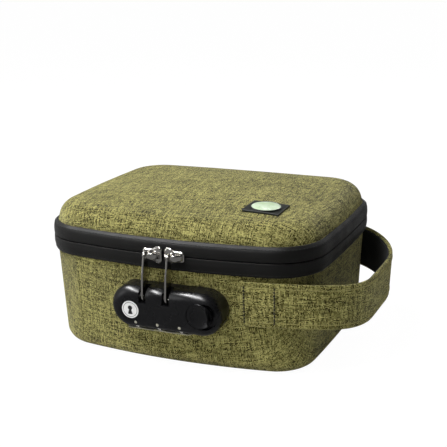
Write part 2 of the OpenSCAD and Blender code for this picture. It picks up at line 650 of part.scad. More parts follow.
lower_shell();
lower_lining();
lower_zip_tape();
lower_zip_coil();
hinge_strip();
handle_strap();
handle_lining();
lock_housing();
lock_back_plate();
lock_screws();
dial_axle();
detent_spring();
dial_trim();
index_pins();
lock_badge();
dial(0);  // dial_1
dial(1);  // dial_2
dial(2);  // dial_3
cam(0);  // cam_1
cam(1);  // cam_2
cam(2);  // cam_3
latch_bar();
release_button();
left_slider();
right_slider();
left_puller();
right_puller();
upper_shell();
upper_lining();
upper_zip_tape();
upper_zip_coil();
lid_patch();
lid_dome();
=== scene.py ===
"""Looks of a small olive zip case with a three-dial lock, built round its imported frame."""

import math

import bmesh
import bpy
import numpy as np
from mathutils import Matrix, Vector, noise


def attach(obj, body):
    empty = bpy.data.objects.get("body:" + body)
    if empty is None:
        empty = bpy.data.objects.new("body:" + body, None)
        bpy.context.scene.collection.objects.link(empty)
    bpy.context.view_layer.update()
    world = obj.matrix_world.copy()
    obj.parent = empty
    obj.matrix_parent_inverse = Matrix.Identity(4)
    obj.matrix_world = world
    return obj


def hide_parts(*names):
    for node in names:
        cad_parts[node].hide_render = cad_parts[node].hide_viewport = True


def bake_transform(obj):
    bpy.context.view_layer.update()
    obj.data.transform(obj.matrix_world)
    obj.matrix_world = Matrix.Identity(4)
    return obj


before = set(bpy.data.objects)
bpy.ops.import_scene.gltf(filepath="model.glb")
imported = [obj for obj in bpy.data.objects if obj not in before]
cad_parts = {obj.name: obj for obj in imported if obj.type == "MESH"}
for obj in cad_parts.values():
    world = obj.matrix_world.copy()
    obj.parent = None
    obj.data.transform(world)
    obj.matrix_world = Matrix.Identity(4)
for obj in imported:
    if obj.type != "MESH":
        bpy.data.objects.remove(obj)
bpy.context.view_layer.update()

MM = 0.001

# Plan outline at the zip band, as the frame has it
HALF_W = 95 * MM
HALF_D = 79.2 * MM
CORNER_R = 33 * MM
FRONT_BOW = 400 * MM
BACK_BOW = 1500 * MM
END_BOW = 900 * MM

# Heights and insets of the two shells
CASE_H = 102.6 * MM
ZIP_LOW = 65 * MM
ZIP_HIGH = 84 * MM
ZIP_MID = (ZIP_LOW + ZIP_HIGH) / 2
BAND_PROUD = 2.4 * MM
LID_INSET = 3.4 * MM
BASE_LEAN = 2.9 * MM
BASE_EDGE = 10 * MM
LID_LEAN = 0.5 * MM
LID_EDGE = 13 * MM
CROWN_SLOPE = math.radians(10)
SHELL_T = 4 * MM
LINING_GAP = 0.2 * MM
LINING_T = 0.8 * MM
RIM_BACK = 5.2 * MM
TAPE_T = 1.3 * MM

# Lock, in its own frame: origin on the wall, +Z up along the wall, -Y out of it
LOCK_X = 5.2 * MM
LOCK_Z = 42 * MM
LOCK_T = 14.6 * MM
WALL_LEAN = math.atan(BASE_LEAN / (ZIP_LOW - BASE_EDGE))
WALL_Y = -HALF_D + BAND_PROUD + math.tan(WALL_LEAN) * (ZIP_LOW - LOCK_Z)


# Materials

def tree_node(tree, kind, inputs=None, **settings):
    """Adds a node; inputs are values or sockets to link, keyed by name or index."""
    made = tree.nodes.new(kind)
    for name, value in settings.items():
        setattr(made, name, value)
    for name, value in (inputs or {}).items():
        if isinstance(value, bpy.types.NodeSocket):
            tree.links.new(value, made.inputs[name])
        else:
            made.inputs[name].default_value = value
    return made


def calc(tree, operation, *values):
    """Output of a Math node."""
    return tree_node(tree, "ShaderNodeMath", dict(enumerate(values)), operation=operation).outputs[0]


def vector_calc(tree, operation, a, b):
    """Output of a Vector Math node."""
    return tree_node(tree, "ShaderNodeVectorMath", {0: a, 1: b}, operation=operation).outputs[0]


def noise_of(tree, vector, scale, detail=2.0, roughness=0.5):
    """Value output of a Noise Texture."""
    inputs = {"Vector": vector, "Scale": scale, "Detail": detail, "Roughness": roughness}
    return tree_node(tree, "ShaderNodeTexNoise", inputs).outputs[0]


def remap(tree, value, low, high, to_low=0.0, to_high=1.0):
    """Clamped linear map of value from low..high."""
    inputs = {"Value": value, "From Min": low, "From Max": high, "To Min": to_low, "To Max": to_high}
    return tree_node(tree, "ShaderNodeMapRange", inputs).outputs["Result"]


def mix_colour(tree, factor, a, b, blend="MIX"):
    """Output of a colour Mix node."""
    made = tree.nodes.new("ShaderNodeMix")
    made.data_type = "RGBA"
    made.blend_type = blend
    for socket, value in ((made.inputs["Factor"], factor), (made.inputs[6], a), (made.inputs[7], b)):
        if isinstance(value, bpy.types.NodeSocket):
            tree.links.new(value, socket)
        else:
            socket.default_value = value if isinstance(value, float) else (*value, 1.0)
    return made.outputs[2]


def shader_group(name, inputs, outputs):
    """A node group with the given sockets, its tree, input node and output node."""
    tree = bpy.data.node_groups.new(name, "ShaderNodeTree")
    for socket, kind, value in inputs:
        made = tree.interface.new_socket(socket, in_out="INPUT", socket_type=kind)
        if value is not None:
            made.default_value = value
    for socket, kind in outputs:
        tree.interface.new_socket(socket, in_out="OUTPUT", socket_type=kind)
    return tree, tree.nodes.new("NodeGroupInput"), tree.nodes.new("NodeGroupOutput")


# Length of a yarn's tone dashes and of its slower drift, in pitches of the weave
DASH_PITCHES = 2.6
DRIFT_PITCHES = 16.0


def make_melange():
    """Linen-look weave: yarns of uneven thickness whose tone jumps between dark, middle and light dashes."""
    tree, given, out = shader_group(
        "melange_weave",
        [
            ("Vector", "NodeSocketVector", None),
            ("Pitch", "NodeSocketFloat", 0.8 * MM),
            ("Dark", "NodeSocketColor", (0.06, 0.055, 0.012, 1)),
            ("Middle", "NodeSocketColor", (0.2, 0.19, 0.06, 1)),
            ("Light", "NodeSocketColor", (0.45, 0.43, 0.19, 1)),
            ("Contrast", "NodeSocketFloat", 1.0),
        ],
        [("Color", "NodeSocketColor"), ("Height", "NodeSocketFloat")],
    )
    vector = given.outputs["Vector"]
    sway = tree_node(tree, "ShaderNodeTexNoise", {"Vector": vector, "Scale": 130.0, "Detail": 1.0})
    sway = vector_calc(tree, "MULTIPLY", sway.outputs["Color"], (0.6 * MM, 0.6 * MM, 0.0))
    wavy = vector_calc(tree, "ADD", vector, sway)
    at = tree_node(tree, "ShaderNodeSeparateXYZ", {0: wavy})
    along, across = [calc(tree, "DIVIDE", at.outputs[i], given.outputs["Pitch"]) for i in (0, 1)]
    warp_no, weft_no = calc(tree, "FLOOR", along), calc(tree, "FLOOR", across)

    def noise_at(x, y, z):
        """Noise in -0.5..0.5 at a point given by three values."""
        point = tree_node(tree, "ShaderNodeCombineXYZ", {0: x, 1: y, 2: z}).outputs[0]
        return calc(tree, "SUBTRACT", noise_of(tree, point, 1.0, 1.0), 0.5)

    def yarn_tone(number, position, offset):
        """Tone of a yarn: short dashes on top of the drift along it."""
        row = calc(tree, "MULTIPLY", number, 7.31)
        dash = noise_at(row, calc(tree, "DIVIDE", position, DASH_PITCHES), offset)
        drift = noise_at(row, calc(tree, "DIVIDE", position, DRIFT_PITCHES), offset + 5.0)
        return calc(tree, "ADD", calc(tree, "MULTIPLY", dash, 1.7), calc(tree, "MULTIPLY", drift, 1.7))

    warp, weft = yarn_tone(warp_no, across, 2.0), yarn_tone(weft_no, along, 31.0)
    # Which yarn lies on top: a plain weave, upset here and there by thick yarns
    parity = calc(tree, "MODULO", calc(tree, "ADD", calc(tree, "ADD", warp_no, weft_no), 4000.0), 2.0)
    slub = noise_at(calc(tree, "MULTIPLY", warp_no, 3.7), calc(tree, "MULTIPLY", weft_no, 0.45), 77.0)
    over = remap(tree, calc(tree, "ADD", parity, calc(tree, "MULTIPLY", slub, 3.0)), 0.35, 0.65)
    tone = calc(tree, "ADD", weft, calc(tree, "MULTIPLY", over, calc(tree, "SUBTRACT", warp, weft)))
    cloud = calc(tree, "SUBTRACT", noise_of(tree, vector, 34.0, 2.0), 0.5)
    tone = calc(tree, "ADD", tone, calc(tree, "MULTIPLY", cloud, 0.3))
    # Round yarns: high in the middle of a crossing and low between yarns; the colour is darkened between yarns
    # as painted shade
    fractions = [calc(tree, "FRACT", value) for value in (along, across)]
    rounds = [calc(tree, "SINE", calc(tree, "MULTIPLY", value, math.pi)) for value in fractions]
    crest = calc(tree, "MULTIPLY", *rounds)
    shaded = calc(tree, "ADD", tone, calc(tree, "MULTIPLY", calc(tree, "SUBTRACT", crest, 0.42), 0.75))
    shaded = calc(tree, "ADD", calc(tree, "MULTIPLY", shaded, given.outputs["Contrast"]), 0.5)
    low = mix_colour(tree, remap(tree, shaded, 0.0, 0.5), given.outputs["Dark"], given.outputs["Middle"])
    colour = mix_colour(tree, remap(tree, shaded, 0.5, 1.0), low, given.outputs["Light"])
    tree.links.new(colour, out.inputs["Color"])
    height = calc(tree, "ADD", calc(tree, "MULTIPLY", crest, 0.8), calc(tree, "MULTIPLY", tone, 0.4))
    tree.links.new(height, out.inputs["Height"])
    return tree


def new_material(name, colour=(0.5, 0.5, 0.5), roughness=0.5, metallic=0.0, **extra):
    """A material with a Principled BSDF; returns it, its tree and the shader node."""
    made = bpy.data.materials.new(name)
    made.use_nodes = True
    made.diffuse_color = (*colour, 1.0)
    shader = made.node_tree.nodes["Principled BSDF"]
    shader.inputs["Base Color"].default_value = (*colour, 1.0)
    shader.inputs["Roughness"].default_value = roughness
    shader.inputs["Metallic"].default_value = metallic
    for socket, value in extra.items():
        shader.inputs[socket.replace("_", " ")].default_value = value
    return made, made.node_tree, shader


def bump(tree, shader, height, distance, strength=1.0):
    """Bends the shader's normal by a height field."""
    made = tree_node(tree, "ShaderNodeBump", {"Height": height, "Distance": distance, "Strength": strength})
    tree.links.new(made.outputs[0], shader.inputs["Normal"])


MELANGE = make_melange()


def object_at(tree):
    """Object coordinates, so that a finish holds still on a moving part."""
    return tree.nodes.new("ShaderNodeTexCoord").outputs["Object"]


def plastic_material(name, colour, roughness, spread, scale, specular=0.5):
    """Moulded plastic: fine texture, and a roughness that drifts with handling."""
    made, tree, shader = new_material(name, colour, roughness, Specular_IOR_Level=specular)
    at = object_at(tree)
    drift = noise_of(tree, at, scale * 0.25, 3.0)
    rough = remap(tree, drift, 0.3, 0.7, roughness - spread, roughness + spread)
    tree.links.new(rough, shader.inputs["Roughness"])
    darker = tuple(c * 0.82 for c in colour)
    tone = mix_colour(tree, remap(tree, drift, 0.25, 0.75), darker, colour)
    tree.links.new(tone, shader.inputs["Base Color"])
    bump(tree, shader, noise_of(tree, at, scale * 12, 2.0), 0.02 * MM, 0.35)
    return made


def metal_material(name, colour, roughness, spread, scale):
    """Plated metal: drawn lines, dull spots, and brighter worn edges."""
    made, tree, shader = new_material(name, colour, roughness, 1.0)
    at = object_at(tree)
    stretched = vector_calc(tree, "MULTIPLY", at, (1.0, 1.0, 0.12))
    lines = noise_of(tree, stretched, scale * 9, 3.0, 0.6)
    spots = noise_of(tree, at, scale, 3.0)
    blended = calc(tree, "ADD", calc(tree, "MULTIPLY", lines, 0.5), calc(tree, "MULTIPLY", spots, 0.5))
    rough = remap(tree, blended, 0.35, 0.65, roughness - spread / 2, roughness + spread)
    tree.links.new(rough, shader.inputs["Roughness"])
    worn = remap(tree, tree.nodes.new("ShaderNodeNewGeometry").outputs["Pointiness"], 0.5, 0.58)
    bright = tuple(min(1.0, c * 1.2) for c in colour)
    dull = tuple(c * 0.8 for c in colour)
    base = mix_colour(tree, remap(tree, spots, 0.3, 0.7), dull, colour)
    tree.links.new(mix_colour(tree, worn, base, bright), shader.inputs["Base Color"])
    bump(tree, shader, lines, 0.015 * MM, 0.3)
    return made


def fibre_material(name, light, dark, scale):
    """Twisted thread: light and dark plies wound round it."""
    made, tree, shader = new_material(name, light, 0.75, Sheen_Weight=0.2, Specular_IOR_Level=0.2)
    at = object_at(tree)
    inputs = {"Vector": at, "Scale": scale, "Distortion": 1.5}
    plies = tree_node(tree, "ShaderNodeTexWave", inputs, bands_direction="DIAGONAL").outputs["Fac"]
    fuzz = noise_of(tree, at, scale * 3, 2.0)
    tone = calc(tree, "ADD", calc(tree, "MULTIPLY", plies, 0.6), calc(tree, "MULTIPLY", fuzz, 0.4))
    tree.links.new(mix_colour(tree, remap(tree, tone, 0.2, 0.75), dark, light), shader.inputs["Base Color"])
    bump(tree, shader, tone, 0.08 * MM, 0.6)
    return made


def weave_material(name, dark, light, pitch, roughness=0.8, specular=0.2):
    """Fine plain weave in the piece's own weave coordinates."""
    made, tree, shader = new_material(name, dark, roughness, Sheen_Weight=0.05, Specular_IOR_Level=specular)
    uv = tree_node(tree, "ShaderNodeUVMap", uv_map="weave").outputs[0]
    at = tree_node(tree, "ShaderNodeSeparateXYZ", {0: uv})
    ribs = [
        calc(tree, "ABSOLUTE", calc(tree, "SINE", calc(tree, "MULTIPLY", at.outputs[i], math.pi / pitch)))
        for i in (0, 1)
    ]
    crest = calc(tree, "MULTIPLY", *ribs)
    cloud = noise_of(tree, uv, 60.0, 3.0)
    # Colour lighter on the thread crowns and darker between threads: painted shade
    tone = calc(tree, "ADD", calc(tree, "MULTIPLY", crest, 0.65), calc(tree, "MULTIPLY", cloud, 0.5))
    tree.links.new(mix_colour(tree, remap(tree, tone, 0.15, 0.85), dark, light), shader.inputs["Base Color"])
    rough = remap(tree, cloud, 0.3, 0.7, roughness - 0.08, roughness + 0.1)
    tree.links.new(rough, shader.inputs["Roughness"])
    bump(tree, shader, crest, pitch * 0.15, 0.7)
    return made


def enamel_material(name):
    """Pale green enamel with milky veins under a clear coat."""
    made, tree, shader = new_material(name, (0.62, 0.76, 0.52), 0.2, Coat_Weight=0.5, Coat_Roughness=0.08)
    at = object_at(tree)
    veins = noise_of(tree, at, 120.0, 4.0, 0.6)
    fine = noise_of(tree, at, 900.0, 2.0)
    tone = calc(tree, "ADD", calc(tree, "MULTIPLY", veins, 0.8), calc(tree, "MULTIPLY", fine, 0.2))
    colour = mix_colour(tree, remap(tree, tone, 0.35, 0.62), (0.5, 0.68, 0.38), (0.74, 0.86, 0.68))
    tree.links.new(colour, shader.inputs["Base Color"])
    tree.links.new(remap(tree, veins, 0.3, 0.7, 0.16, 0.3), shader.inputs["Roughness"])
    bump(tree, shader, fine, 0.02 * MM, 0.3)
    return made


def melange_material(name, dark, middle, light, contrast=1.0, pitch=0.8 * MM):
    """Woven cloth of three yarn tones."""
    made, tree, shader = new_material(
        name, middle, 0.9, Sheen_Weight=0.12, Sheen_Roughness=0.4, Specular_IOR_Level=0.15
    )
    uv = tree_node(tree, "ShaderNodeUVMap", uv_map="weave").outputs[0]
    inputs = {"Vector": uv, "Pitch": pitch, "Contrast": contrast}
    inputs |= {"Dark": (*dark, 1), "Middle": (*middle, 1), "Light": (*light, 1)}
    weave = tree_node(tree, "ShaderNodeGroup", inputs, node_tree=MELANGE)
    tree.links.new(weave.outputs["Color"], shader.inputs["Base Color"])
    bump(tree, shader, weave.outputs["Height"], 0.3 * MM, 0.8)
    return made


OLIVE = {"dark": (0.016, 0.013, 0.001), "middle": (0.112, 0.1, 0.016), "light": (0.54, 0.5, 0.175)}
CLOTH = melange_material("olive_cloth", **OLIVE, contrast=2.5, pitch=0.72 * MM)
THREAD = fibre_material("olive_thread", (0.46, 0.42, 0.15), (0.22, 0.2, 0.05), 900.0)
# Near-black thread for the sewn box: its dark colour is painted shade in the stitch grooves
GROOVE_SHADE_THREAD = fibre_material("groove_shade_thread", (0.03, 0.027, 0.008), (0.012, 0.01, 0.004), 900.0)
LINING = weave_material("black_lining", (0.011, 0.011, 0.012), (0.022, 0.022, 0.024), 0.9 * MM)
WEBBING = weave_material("black_webbing", (0.008, 0.008, 0.0085), (0.02, 0.02, 0.021), 1.3 * MM)
TAPE = weave_material("coated_tape", (0.004, 0.0038, 0.0036), (0.007, 0.0066, 0.006), 0.55 * MM, 0.45, 0.2)
BLACK_THREAD = fibre_material("black_thread", (0.012, 0.012, 0.013), (0.006, 0.006, 0.006), 900.0)
COIL_NYLON = plastic_material("coil_nylon", (0.012, 0.012, 0.013), 0.35, 0.05, 900.0)
BLACK_PLASTIC = plastic_material("black_plastic", (0.0062, 0.0062, 0.007), 0.27, 0.07, 260.0, 0.3)
DIAL_PLASTIC = plastic_material("dial_plastic", (0.011, 0.011, 0.012), 0.36, 0.08, 300.0)
DIGIT_INK = plastic_material("digit_ink", (0.72, 0.71, 0.67), 0.45, 0.1, 500.0)
# Pale finish of the index pins, and of the trim, whose pale line is a painted reflection of the floor along
# the lock's lower edge
PIPS_AND_PAINTED_REFLECTION = plastic_material("pale_pips_and_painted_reflection", (0.4, 0.385, 0.31), 0.42, 0.1, 240.0)
WHITE = plastic_material("white_disc", (0.87, 0.87, 0.86), 0.3, 0.08, 200.0)
INK = plastic_material("keyhole_ink", (0.008, 0.008, 0.009), 0.4, 0.1, 400.0)
PATCH = plastic_material("patch_rubber", (0.007, 0.01, 0.006), 0.4, 0.12, 330.0, 0.4)
NICKEL = metal_material("nickel", (0.47, 0.455, 0.43), 0.15, 0.1, 420.0)
STEEL = metal_material("steel", (0.48, 0.48, 0.47), 0.3, 0.15, 300.0)
ZINC = metal_material("zinc_plate", (0.36, 0.37, 0.38), 0.42, 0.2, 120.0)
BRASS = metal_material("brass", (0.62, 0.44, 0.17), 0.28, 0.15, 260.0)
MINT = enamel_material("mint_enamel")


# Outline of the case

def corner_centre(bow):
    """Centre of the corner that touches the end's arc and a front or back arc of radius bow."""
    cx, cy = HALF_W - END_BOW, bow - HALF_D
    r0, r1 = bow - CORNER_R, END_BOW - CORNER_R
    d = math.hypot(cx, cy)
    a = (r0 * r0 - r1 * r1 + d * d) / (2 * d)
    h = math.sqrt(r0 * r0 - a * a)
    return a * cx / d + h * cy / d, cy - a * cy / d + h * cx / d


FRONT_CORNER = corner_centre(FRONT_BOW)
BACK_CORNER = corner_centre(BACK_BOW)
FRONT_HALF = math.atan2(FRONT_CORNER[0], FRONT_BOW - HALF_D - FRONT_CORNER[1])
BACK_HALF = math.atan2(BACK_CORNER[0], BACK_BOW - HALF_D - BACK_CORNER[1])
END_FRONT = math.atan2(-FRONT_CORNER[1], FRONT_CORNER[0] - HALF_W + END_BOW)
END_BACK = math.atan2(-BACK_CORNER[1], BACK_CORNER[0] - HALF_W + END_BOW)
QUARTER = math.pi / 2
# Each arc: centre, radius, first and last angle, segments
FRONT_ARC = (0, FRONT_BOW - HALF_D, FRONT_BOW, -QUARTER - FRONT_HALF, -QUARTER + FRONT_HALF, 52)
BACK_ARC = (0, HALF_D - BACK_BOW, BACK_BOW, QUARTER - BACK_HALF, QUARTER + BACK_HALF, 36)
RIGHT_ARC = (HALF_W - END_BOW, 0, END_BOW, -END_FRONT, END_BACK, 28)
LEFT_ARC = (END_BOW - HALF_W, 0, END_BOW, math.pi - END_BACK, math.pi + END_FRONT, 28)
FRONT_RIGHT = (*FRONT_CORNER, CORNER_R, FRONT_ARC[4], -END_FRONT, 22)
BACK_RIGHT = (BACK_CORNER[0], -BACK_CORNER[1], CORNER_R, END_BACK, BACK_ARC[3], 22)
BACK_LEFT = (-BACK_CORNER[0], -BACK_CORNER[1], CORNER_R, BACK_ARC[4], LEFT_ARC[3], 22)
FRONT_LEFT = (-FRONT_CORNER[0], FRONT_CORNER[1], CORNER_R, LEFT_ARC[4], 3 * QUARTER - FRONT_HALF, 22)
RING = (FRONT_ARC, FRONT_RIGHT, RIGHT_ARC, BACK_RIGHT, BACK_ARC, BACK_LEFT, LEFT_ARC, FRONT_LEFT)
ZIP_RUN = (BACK_LEFT, LEFT_ARC, FRONT_LEFT, FRONT_ARC, FRONT_RIGHT, RIGHT_ARC, BACK_RIGHT)


def steps(a, b, n, last=True):
    """Values from a to b in n equal steps, with b itself only if last."""
    return [a + (b - a) * k / n for k in range(n + last)]


def lengths_along(points):
    """Length of the way to each point of a row."""
    return np.concatenate([[0], np.cumsum(np.linalg.norm(np.diff(points, axis=0), axis=1))])


def at_height(points, z):
    """Plan points with a height, or a height for each."""
    return np.column_stack([points, np.full(len(points), z)])


def trace(arcs, closed):
    """Points on the outline at the band's face, and outward normals."""
    points, normals = [], []
    for number, (cx, cy, r, a0, a1, count) in enumerate(arcs):
        for a in steps(a0, a1, count, not closed and number == len(arcs) - 1):
            points.append((cx + r * math.cos(a), cy + r * math.sin(a)))
            normals.append((math.cos(a), math.sin(a)))
    return np.array(points), np.array(normals)


RING_POINTS, RING_NORMALS = trace(RING, True)


# Meshes

def evaluated_mesh(helper):
    """The helper object's mesh with its modifiers applied; the helper goes."""
    bpy.context.view_layer.update()
    depsgraph = bpy.context.evaluated_depsgraph_get()
    mesh = bpy.data.meshes.new_from_object(helper.evaluated_get(depsgraph))
    bpy.data.objects.remove(helper)
    return mesh


def link_new(name, data):
    """A new object in the scene."""
    made = bpy.data.objects.new(name, data)
    bpy.context.scene.collection.objects.link(made)
    return made


def mesh_of(shape, name):
    """A mesh from a finished bmesh."""
    mesh = bpy.data.meshes.new(name)
    shape.to_mesh(mesh)
    shape.free()
    return mesh


def grid_mesh(name, rows, uvs, material, ends="fill"):
    """Quads over equally long closed rows of points; ends are "fill" (a face over the first and the last
    row), "point" (both rows closed on their mean) or None."""
    rows, uvs = np.array(rows, float), np.array(uvs, float)
    m, n = rows.shape[:2]
    points = [tuple(p) for p in rows.reshape(-1, 3)]
    flat_uv = [tuple(p) for p in uvs.reshape(-1, 2)]
    faces = []
    for k in range(m - 1):
        for i in range(n):
            j = (i + 1) % n
            faces.append((k * n + i, k * n + j, (k + 1) * n + j, (k + 1) * n + i))
    for k in (0, m - 1):
        if ends == "fill":
            faces.append(tuple(k * n + i for i in range(n)))
        if ends == "point":
            middle = len(points)
            points.append(tuple(rows[k].mean(0)))
            flat_uv.append(tuple(uvs[k].mean(0)))
            faces += [(k * n + i, k * n + (i + 1) % n, middle) for i in range(n)]
    mesh = bpy.data.meshes.new(name)
    mesh.from_pydata(points, [], faces)
    layer = mesh.uv_layers.new(name="weave")
    index = np.zeros(len(mesh.loops), int)
    mesh.loops.foreach_get("vertex_index", index)
    layer.data.foreach_set("uv", np.array(flat_uv)[index].astype(np.float32).ravel())
    return finish_mesh(mesh, name, material)


def finish_mesh(mesh, name, material, sharp=35):
    """Turns faces outwards, shades smooth with creases, and makes the object."""
    shape = bmesh.new()
    shape.from_mesh(mesh)
    bmesh.ops.recalc_face_normals(shape, faces=shape.faces)
    shape.to_mesh(mesh)
    shape.free()
    mesh.shade_smooth()
    mesh.set_sharp_from_angle(angle=math.radians(sharp))
    mesh.materials.append(material)
    return link_new(name, mesh)


def place(piece, body, slot, *replaced):
    """Rides on a body and stands for CAD nodes, which it hides; the slot is not used."""
    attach(piece, body)
    if replaced:
        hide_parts(*replaced)
    return piece


def ring_at(inset, z, share=1.0):
    """The outline moved in, drawn together to a share of its size, at a height."""
    return at_height((RING_POINTS - RING_NORMALS * inset) * share, z)


def shell_profile(parts):
    """Joins (inset, z) stretches into one list of (inset, z, length)."""
    profile, length = [], 0.0
    for inset, z in parts:
        if profile:
            length += math.hypot(inset - profile[-1][0], z - profile[-1][1])
        profile.append((inset, z, length))
    return profile


def base_profile(t):
    """The base's surface, t inside its cloth, from the foot's rounding up to the rim."""
    r = BASE_EDGE - t
    low = BAND_PROUD + BASE_LEAN + BASE_EDGE
    rounding = [(low - r * math.sin(a), BASE_EDGE - r * math.cos(a)) for a in steps(0, QUARTER, 12)]
    rim = ZIP_MID - RIM_BACK
    wall = [
        (BAND_PROUD + t + BASE_LEAN * (1 - k), BASE_EDGE + (ZIP_LOW - BASE_EDGE) * k)
        for k in steps(0, 1, 24)[1:]
    ]
    return shell_profile([*rounding, *wall, (BAND_PROUD + t, rim)])


LID_TOP_INSET = LID_INSET + LID_LEAN + LID_EDGE * (1 - math.sin(CROWN_SLOPE))
CROWN_RISE = (HALF_D - LID_TOP_INSET) * math.tan(CROWN_SLOPE) / 2
LID_EDGE_Z = CASE_H - CROWN_RISE - LID_EDGE * math.cos(CROWN_SLOPE)


def lid_profile(t):
    """The lid's surface, t inside its cloth, from the crown's edge down to the rim."""
    r = LID_EDGE - t
    rounding = [
        (LID_INSET + LID_LEAN + LID_EDGE - r * math.cos(a), LID_EDGE_Z + r * math.sin(a))
        for a in steps(QUARTER - CROWN_SLOPE, 0, 14)
    ]
    wall = [
        (LID_INSET + t + LID_LEAN * (1 - k), LID_EDGE_Z + (ZIP_HIGH - LID_EDGE_Z) * k)
        for k in steps(0, 1, 3)[1:]
    ]
    return shell_profile([*rounding, *wall, (LID_INSET + t, ZIP_MID + RIM_BACK)])


def shell_rows(profile, flat):
    """Rows and weave coordinates over a shell: its flat, given as shares of the outline and heights, and
    then its wall, onto which the cloth runs on from the flat's edge."""
    inset = profile[0][0]
    edge = RING_POINTS - RING_NORMALS * inset
    rows = [ring_at(inset, z, share) for share, z in flat]
    uvs = [row[:, :2] for row in rows]
    rows += [ring_at(inset, z) for inset, z, _ in profile]
    return rows, uvs + [edge + RING_NORMALS * length for _, _, length in profile]


def base_rows(t):
    """The base, t inside its cloth."""
    return shell_rows(base_profile(t), [(k, t) for k in (0.12, 0.35, 0.6, 0.85)])


def lid_rows(t):
    """The lid, t inside its cloth."""
    shares = (0.05, 0.15, 0.27, 0.4, 0.53, 0.65, 0.76, 0.86, 0.94)
    return shell_rows(lid_profile(t), [(k, CASE_H - t - CROWN_RISE * k * k) for k in shares])


def ripple(rows, height, scale, seed):
    """Moves points a little, so that the moulded cloth isn't perfectly even."""
    moved = []
    for row in rows:
        offsets = [noise.noise(Vector(p) * scale + Vector((seed, 0, 0))) * height for p in row]
        shift = np.column_stack([RING_NORMALS, np.zeros(len(row))]) * np.array(offsets)[:, None]
        moved.append(row + shift)
    return moved


def make_shell(name, rows_of, body, slot):
    """A moulded shell: cloth outside, and the foam's inner face behind the lining."""
    outer, outer_uv = rows_of(0)
    inner, inner_uv = rows_of(SHELL_T)
    rows = ripple(outer, 0.25 * MM, 28, 3.0) + inner[::-1]
    shell = grid_mesh(name + "_cloth", rows, outer_uv + inner_uv[::-1], CLOTH, ends="point")
    return place(shell, body, slot, name + "_shell")


make_shell("lower", base_rows, "base", "shell_cloth")
make_shell("upper", lid_rows, "lid", "lid_cloth")


def make_lining(name, rows_of, body):
    """A shell's woven lining."""
    outer, outer_uv = rows_of(SHELL_T + LINING_GAP)
    inner, inner_uv = rows_of(SHELL_T + LINING_GAP + LINING_T)
    rows, uvs = outer + inner[::-1], outer_uv + inner_uv[::-1]
    lining = grid_mesh(name + "_lining_cloth", rows, uvs, LINING, ends="point")
    return place(lining, body, "lining_cloth", name + "_lining")


make_lining("lower", base_rows, "base")
make_lining("upper", lid_rows, "lid")


# Zip

def carry(name, section, offsets, points, normals, heights, material):
    """A closed section carried along a path of points, out by offsets along the normals and up by heights."""
    girth = lengths_along(section)
    rows, uvs = [], []
    for p, normal, length, height in zip(points, normals, lengths_along(points), heights):
        rows.append(at_height(p + normal * offsets, height + section[:, 1]))
        uvs.append(np.column_stack([np.full(len(section), length), girth]))
    return grid_mesh(name, rows, uvs, material)


def sweep(name, section, arcs, material):
    """A closed section of (inset, z) points carried along the outline's arcs."""
    points, normals = trace(arcs, False)
    return carry(name, section, -section[:, :1], points, normals, np.zeros(len(points)), material)


def smooth_through(points, per_span):
    """Catmull-Rom curve through points."""
    p = np.array([points[0], *points, points[-1]], float)
    out = []
    for a, b, c, d in zip(p, p[1:], p[2:], p[3:]):
        for t in steps(0, 1, per_span, False):
            bend = (2 * a - 5 * b + 4 * c - d) * t * t + (3 * b - a - 3 * c + d) * t**3
            out.append(0.5 * (2 * b + (c - a) * t + bend))
    return np.array([*out, p[-2]])


TAPE_FOOT = BAND_PROUD - TAPE_T - 0.06 * MM
# Outer face of the tape beyond its foot, as inset and height above the band's lower edge, in millimetres
TAPE_BULGE = ((0.45, 2.4), (0, 5.2), (0.02, 7.4), (0.14, 8.9), (0.5, 9.15))


def tape_section(mirror):
    """Outer face from the sewn edge to the slit, then back along the inner face."""
    foot = TAPE_FOOT + (LID_INSET - BAND_PROUD if mirror else 0)
    bulge = [(inset * MM, rise * MM) for inset, rise in TAPE_BULGE]
    outer = smooth_through([(foot + 0.5 * MM, 0), (foot, 0.35 * MM), *bulge], 5)
    inner = outer[::-1] + np.array([TAPE_T, 0])
    section = np.vstack([outer, inner])
    if mirror:
        return np.column_stack([section[:, 0], ZIP_HIGH - section[:, 1]])
    return np.column_stack([section[:, 0], ZIP_LOW + section[:, 1]])


place(sweep("lower_tape_band", tape_section(False), ZIP_RUN, TAPE), "base", "zip_tape", "lower_zip_tape")
place(sweep("upper_tape_band", tape_section(True), ZIP_RUN, TAPE), "lid", "zip_tape", "upper_zip_tape")


# Handle

STRAP_H = 29 * MM
STRAP_Z = 48 * MM
STRAP_T = 2.2 * MM
STRAP_REACH = 115 * MM
STRAP_DROOP = 6.5 * MM
WEB_T = 1.0 * MM
WEB_OFF = 0.25 * MM
STRAP_OFF = WEB_OFF + WEB_T + 0.1 * MM
SEWN = (49.5 * MM, 71 * MM)
STRAP_WALL = BAND_PROUD + BASE_LEAN * (ZIP_LOW - STRAP_Z) / (ZIP_LOW - BASE_EDGE)


def wall_face(x, side):
    """Point on the front (side -1) or back (side 1) wall at x."""
    bow, corner = (FRONT_BOW, FRONT_CORNER) if side < 0 else (BACK_BOW, BACK_CORNER)
    r, rc = bow - STRAP_WALL, CORNER_R - STRAP_WALL
    if x > corner[0] * r / (bow - CORNER_R):
        y = -corner[1] + math.sqrt(rc * rc - (x - corner[0]) ** 2)
    else:
        y = math.sqrt(r * r - x * x) - (bow - HALF_D)
    return np.array([x, side * y])


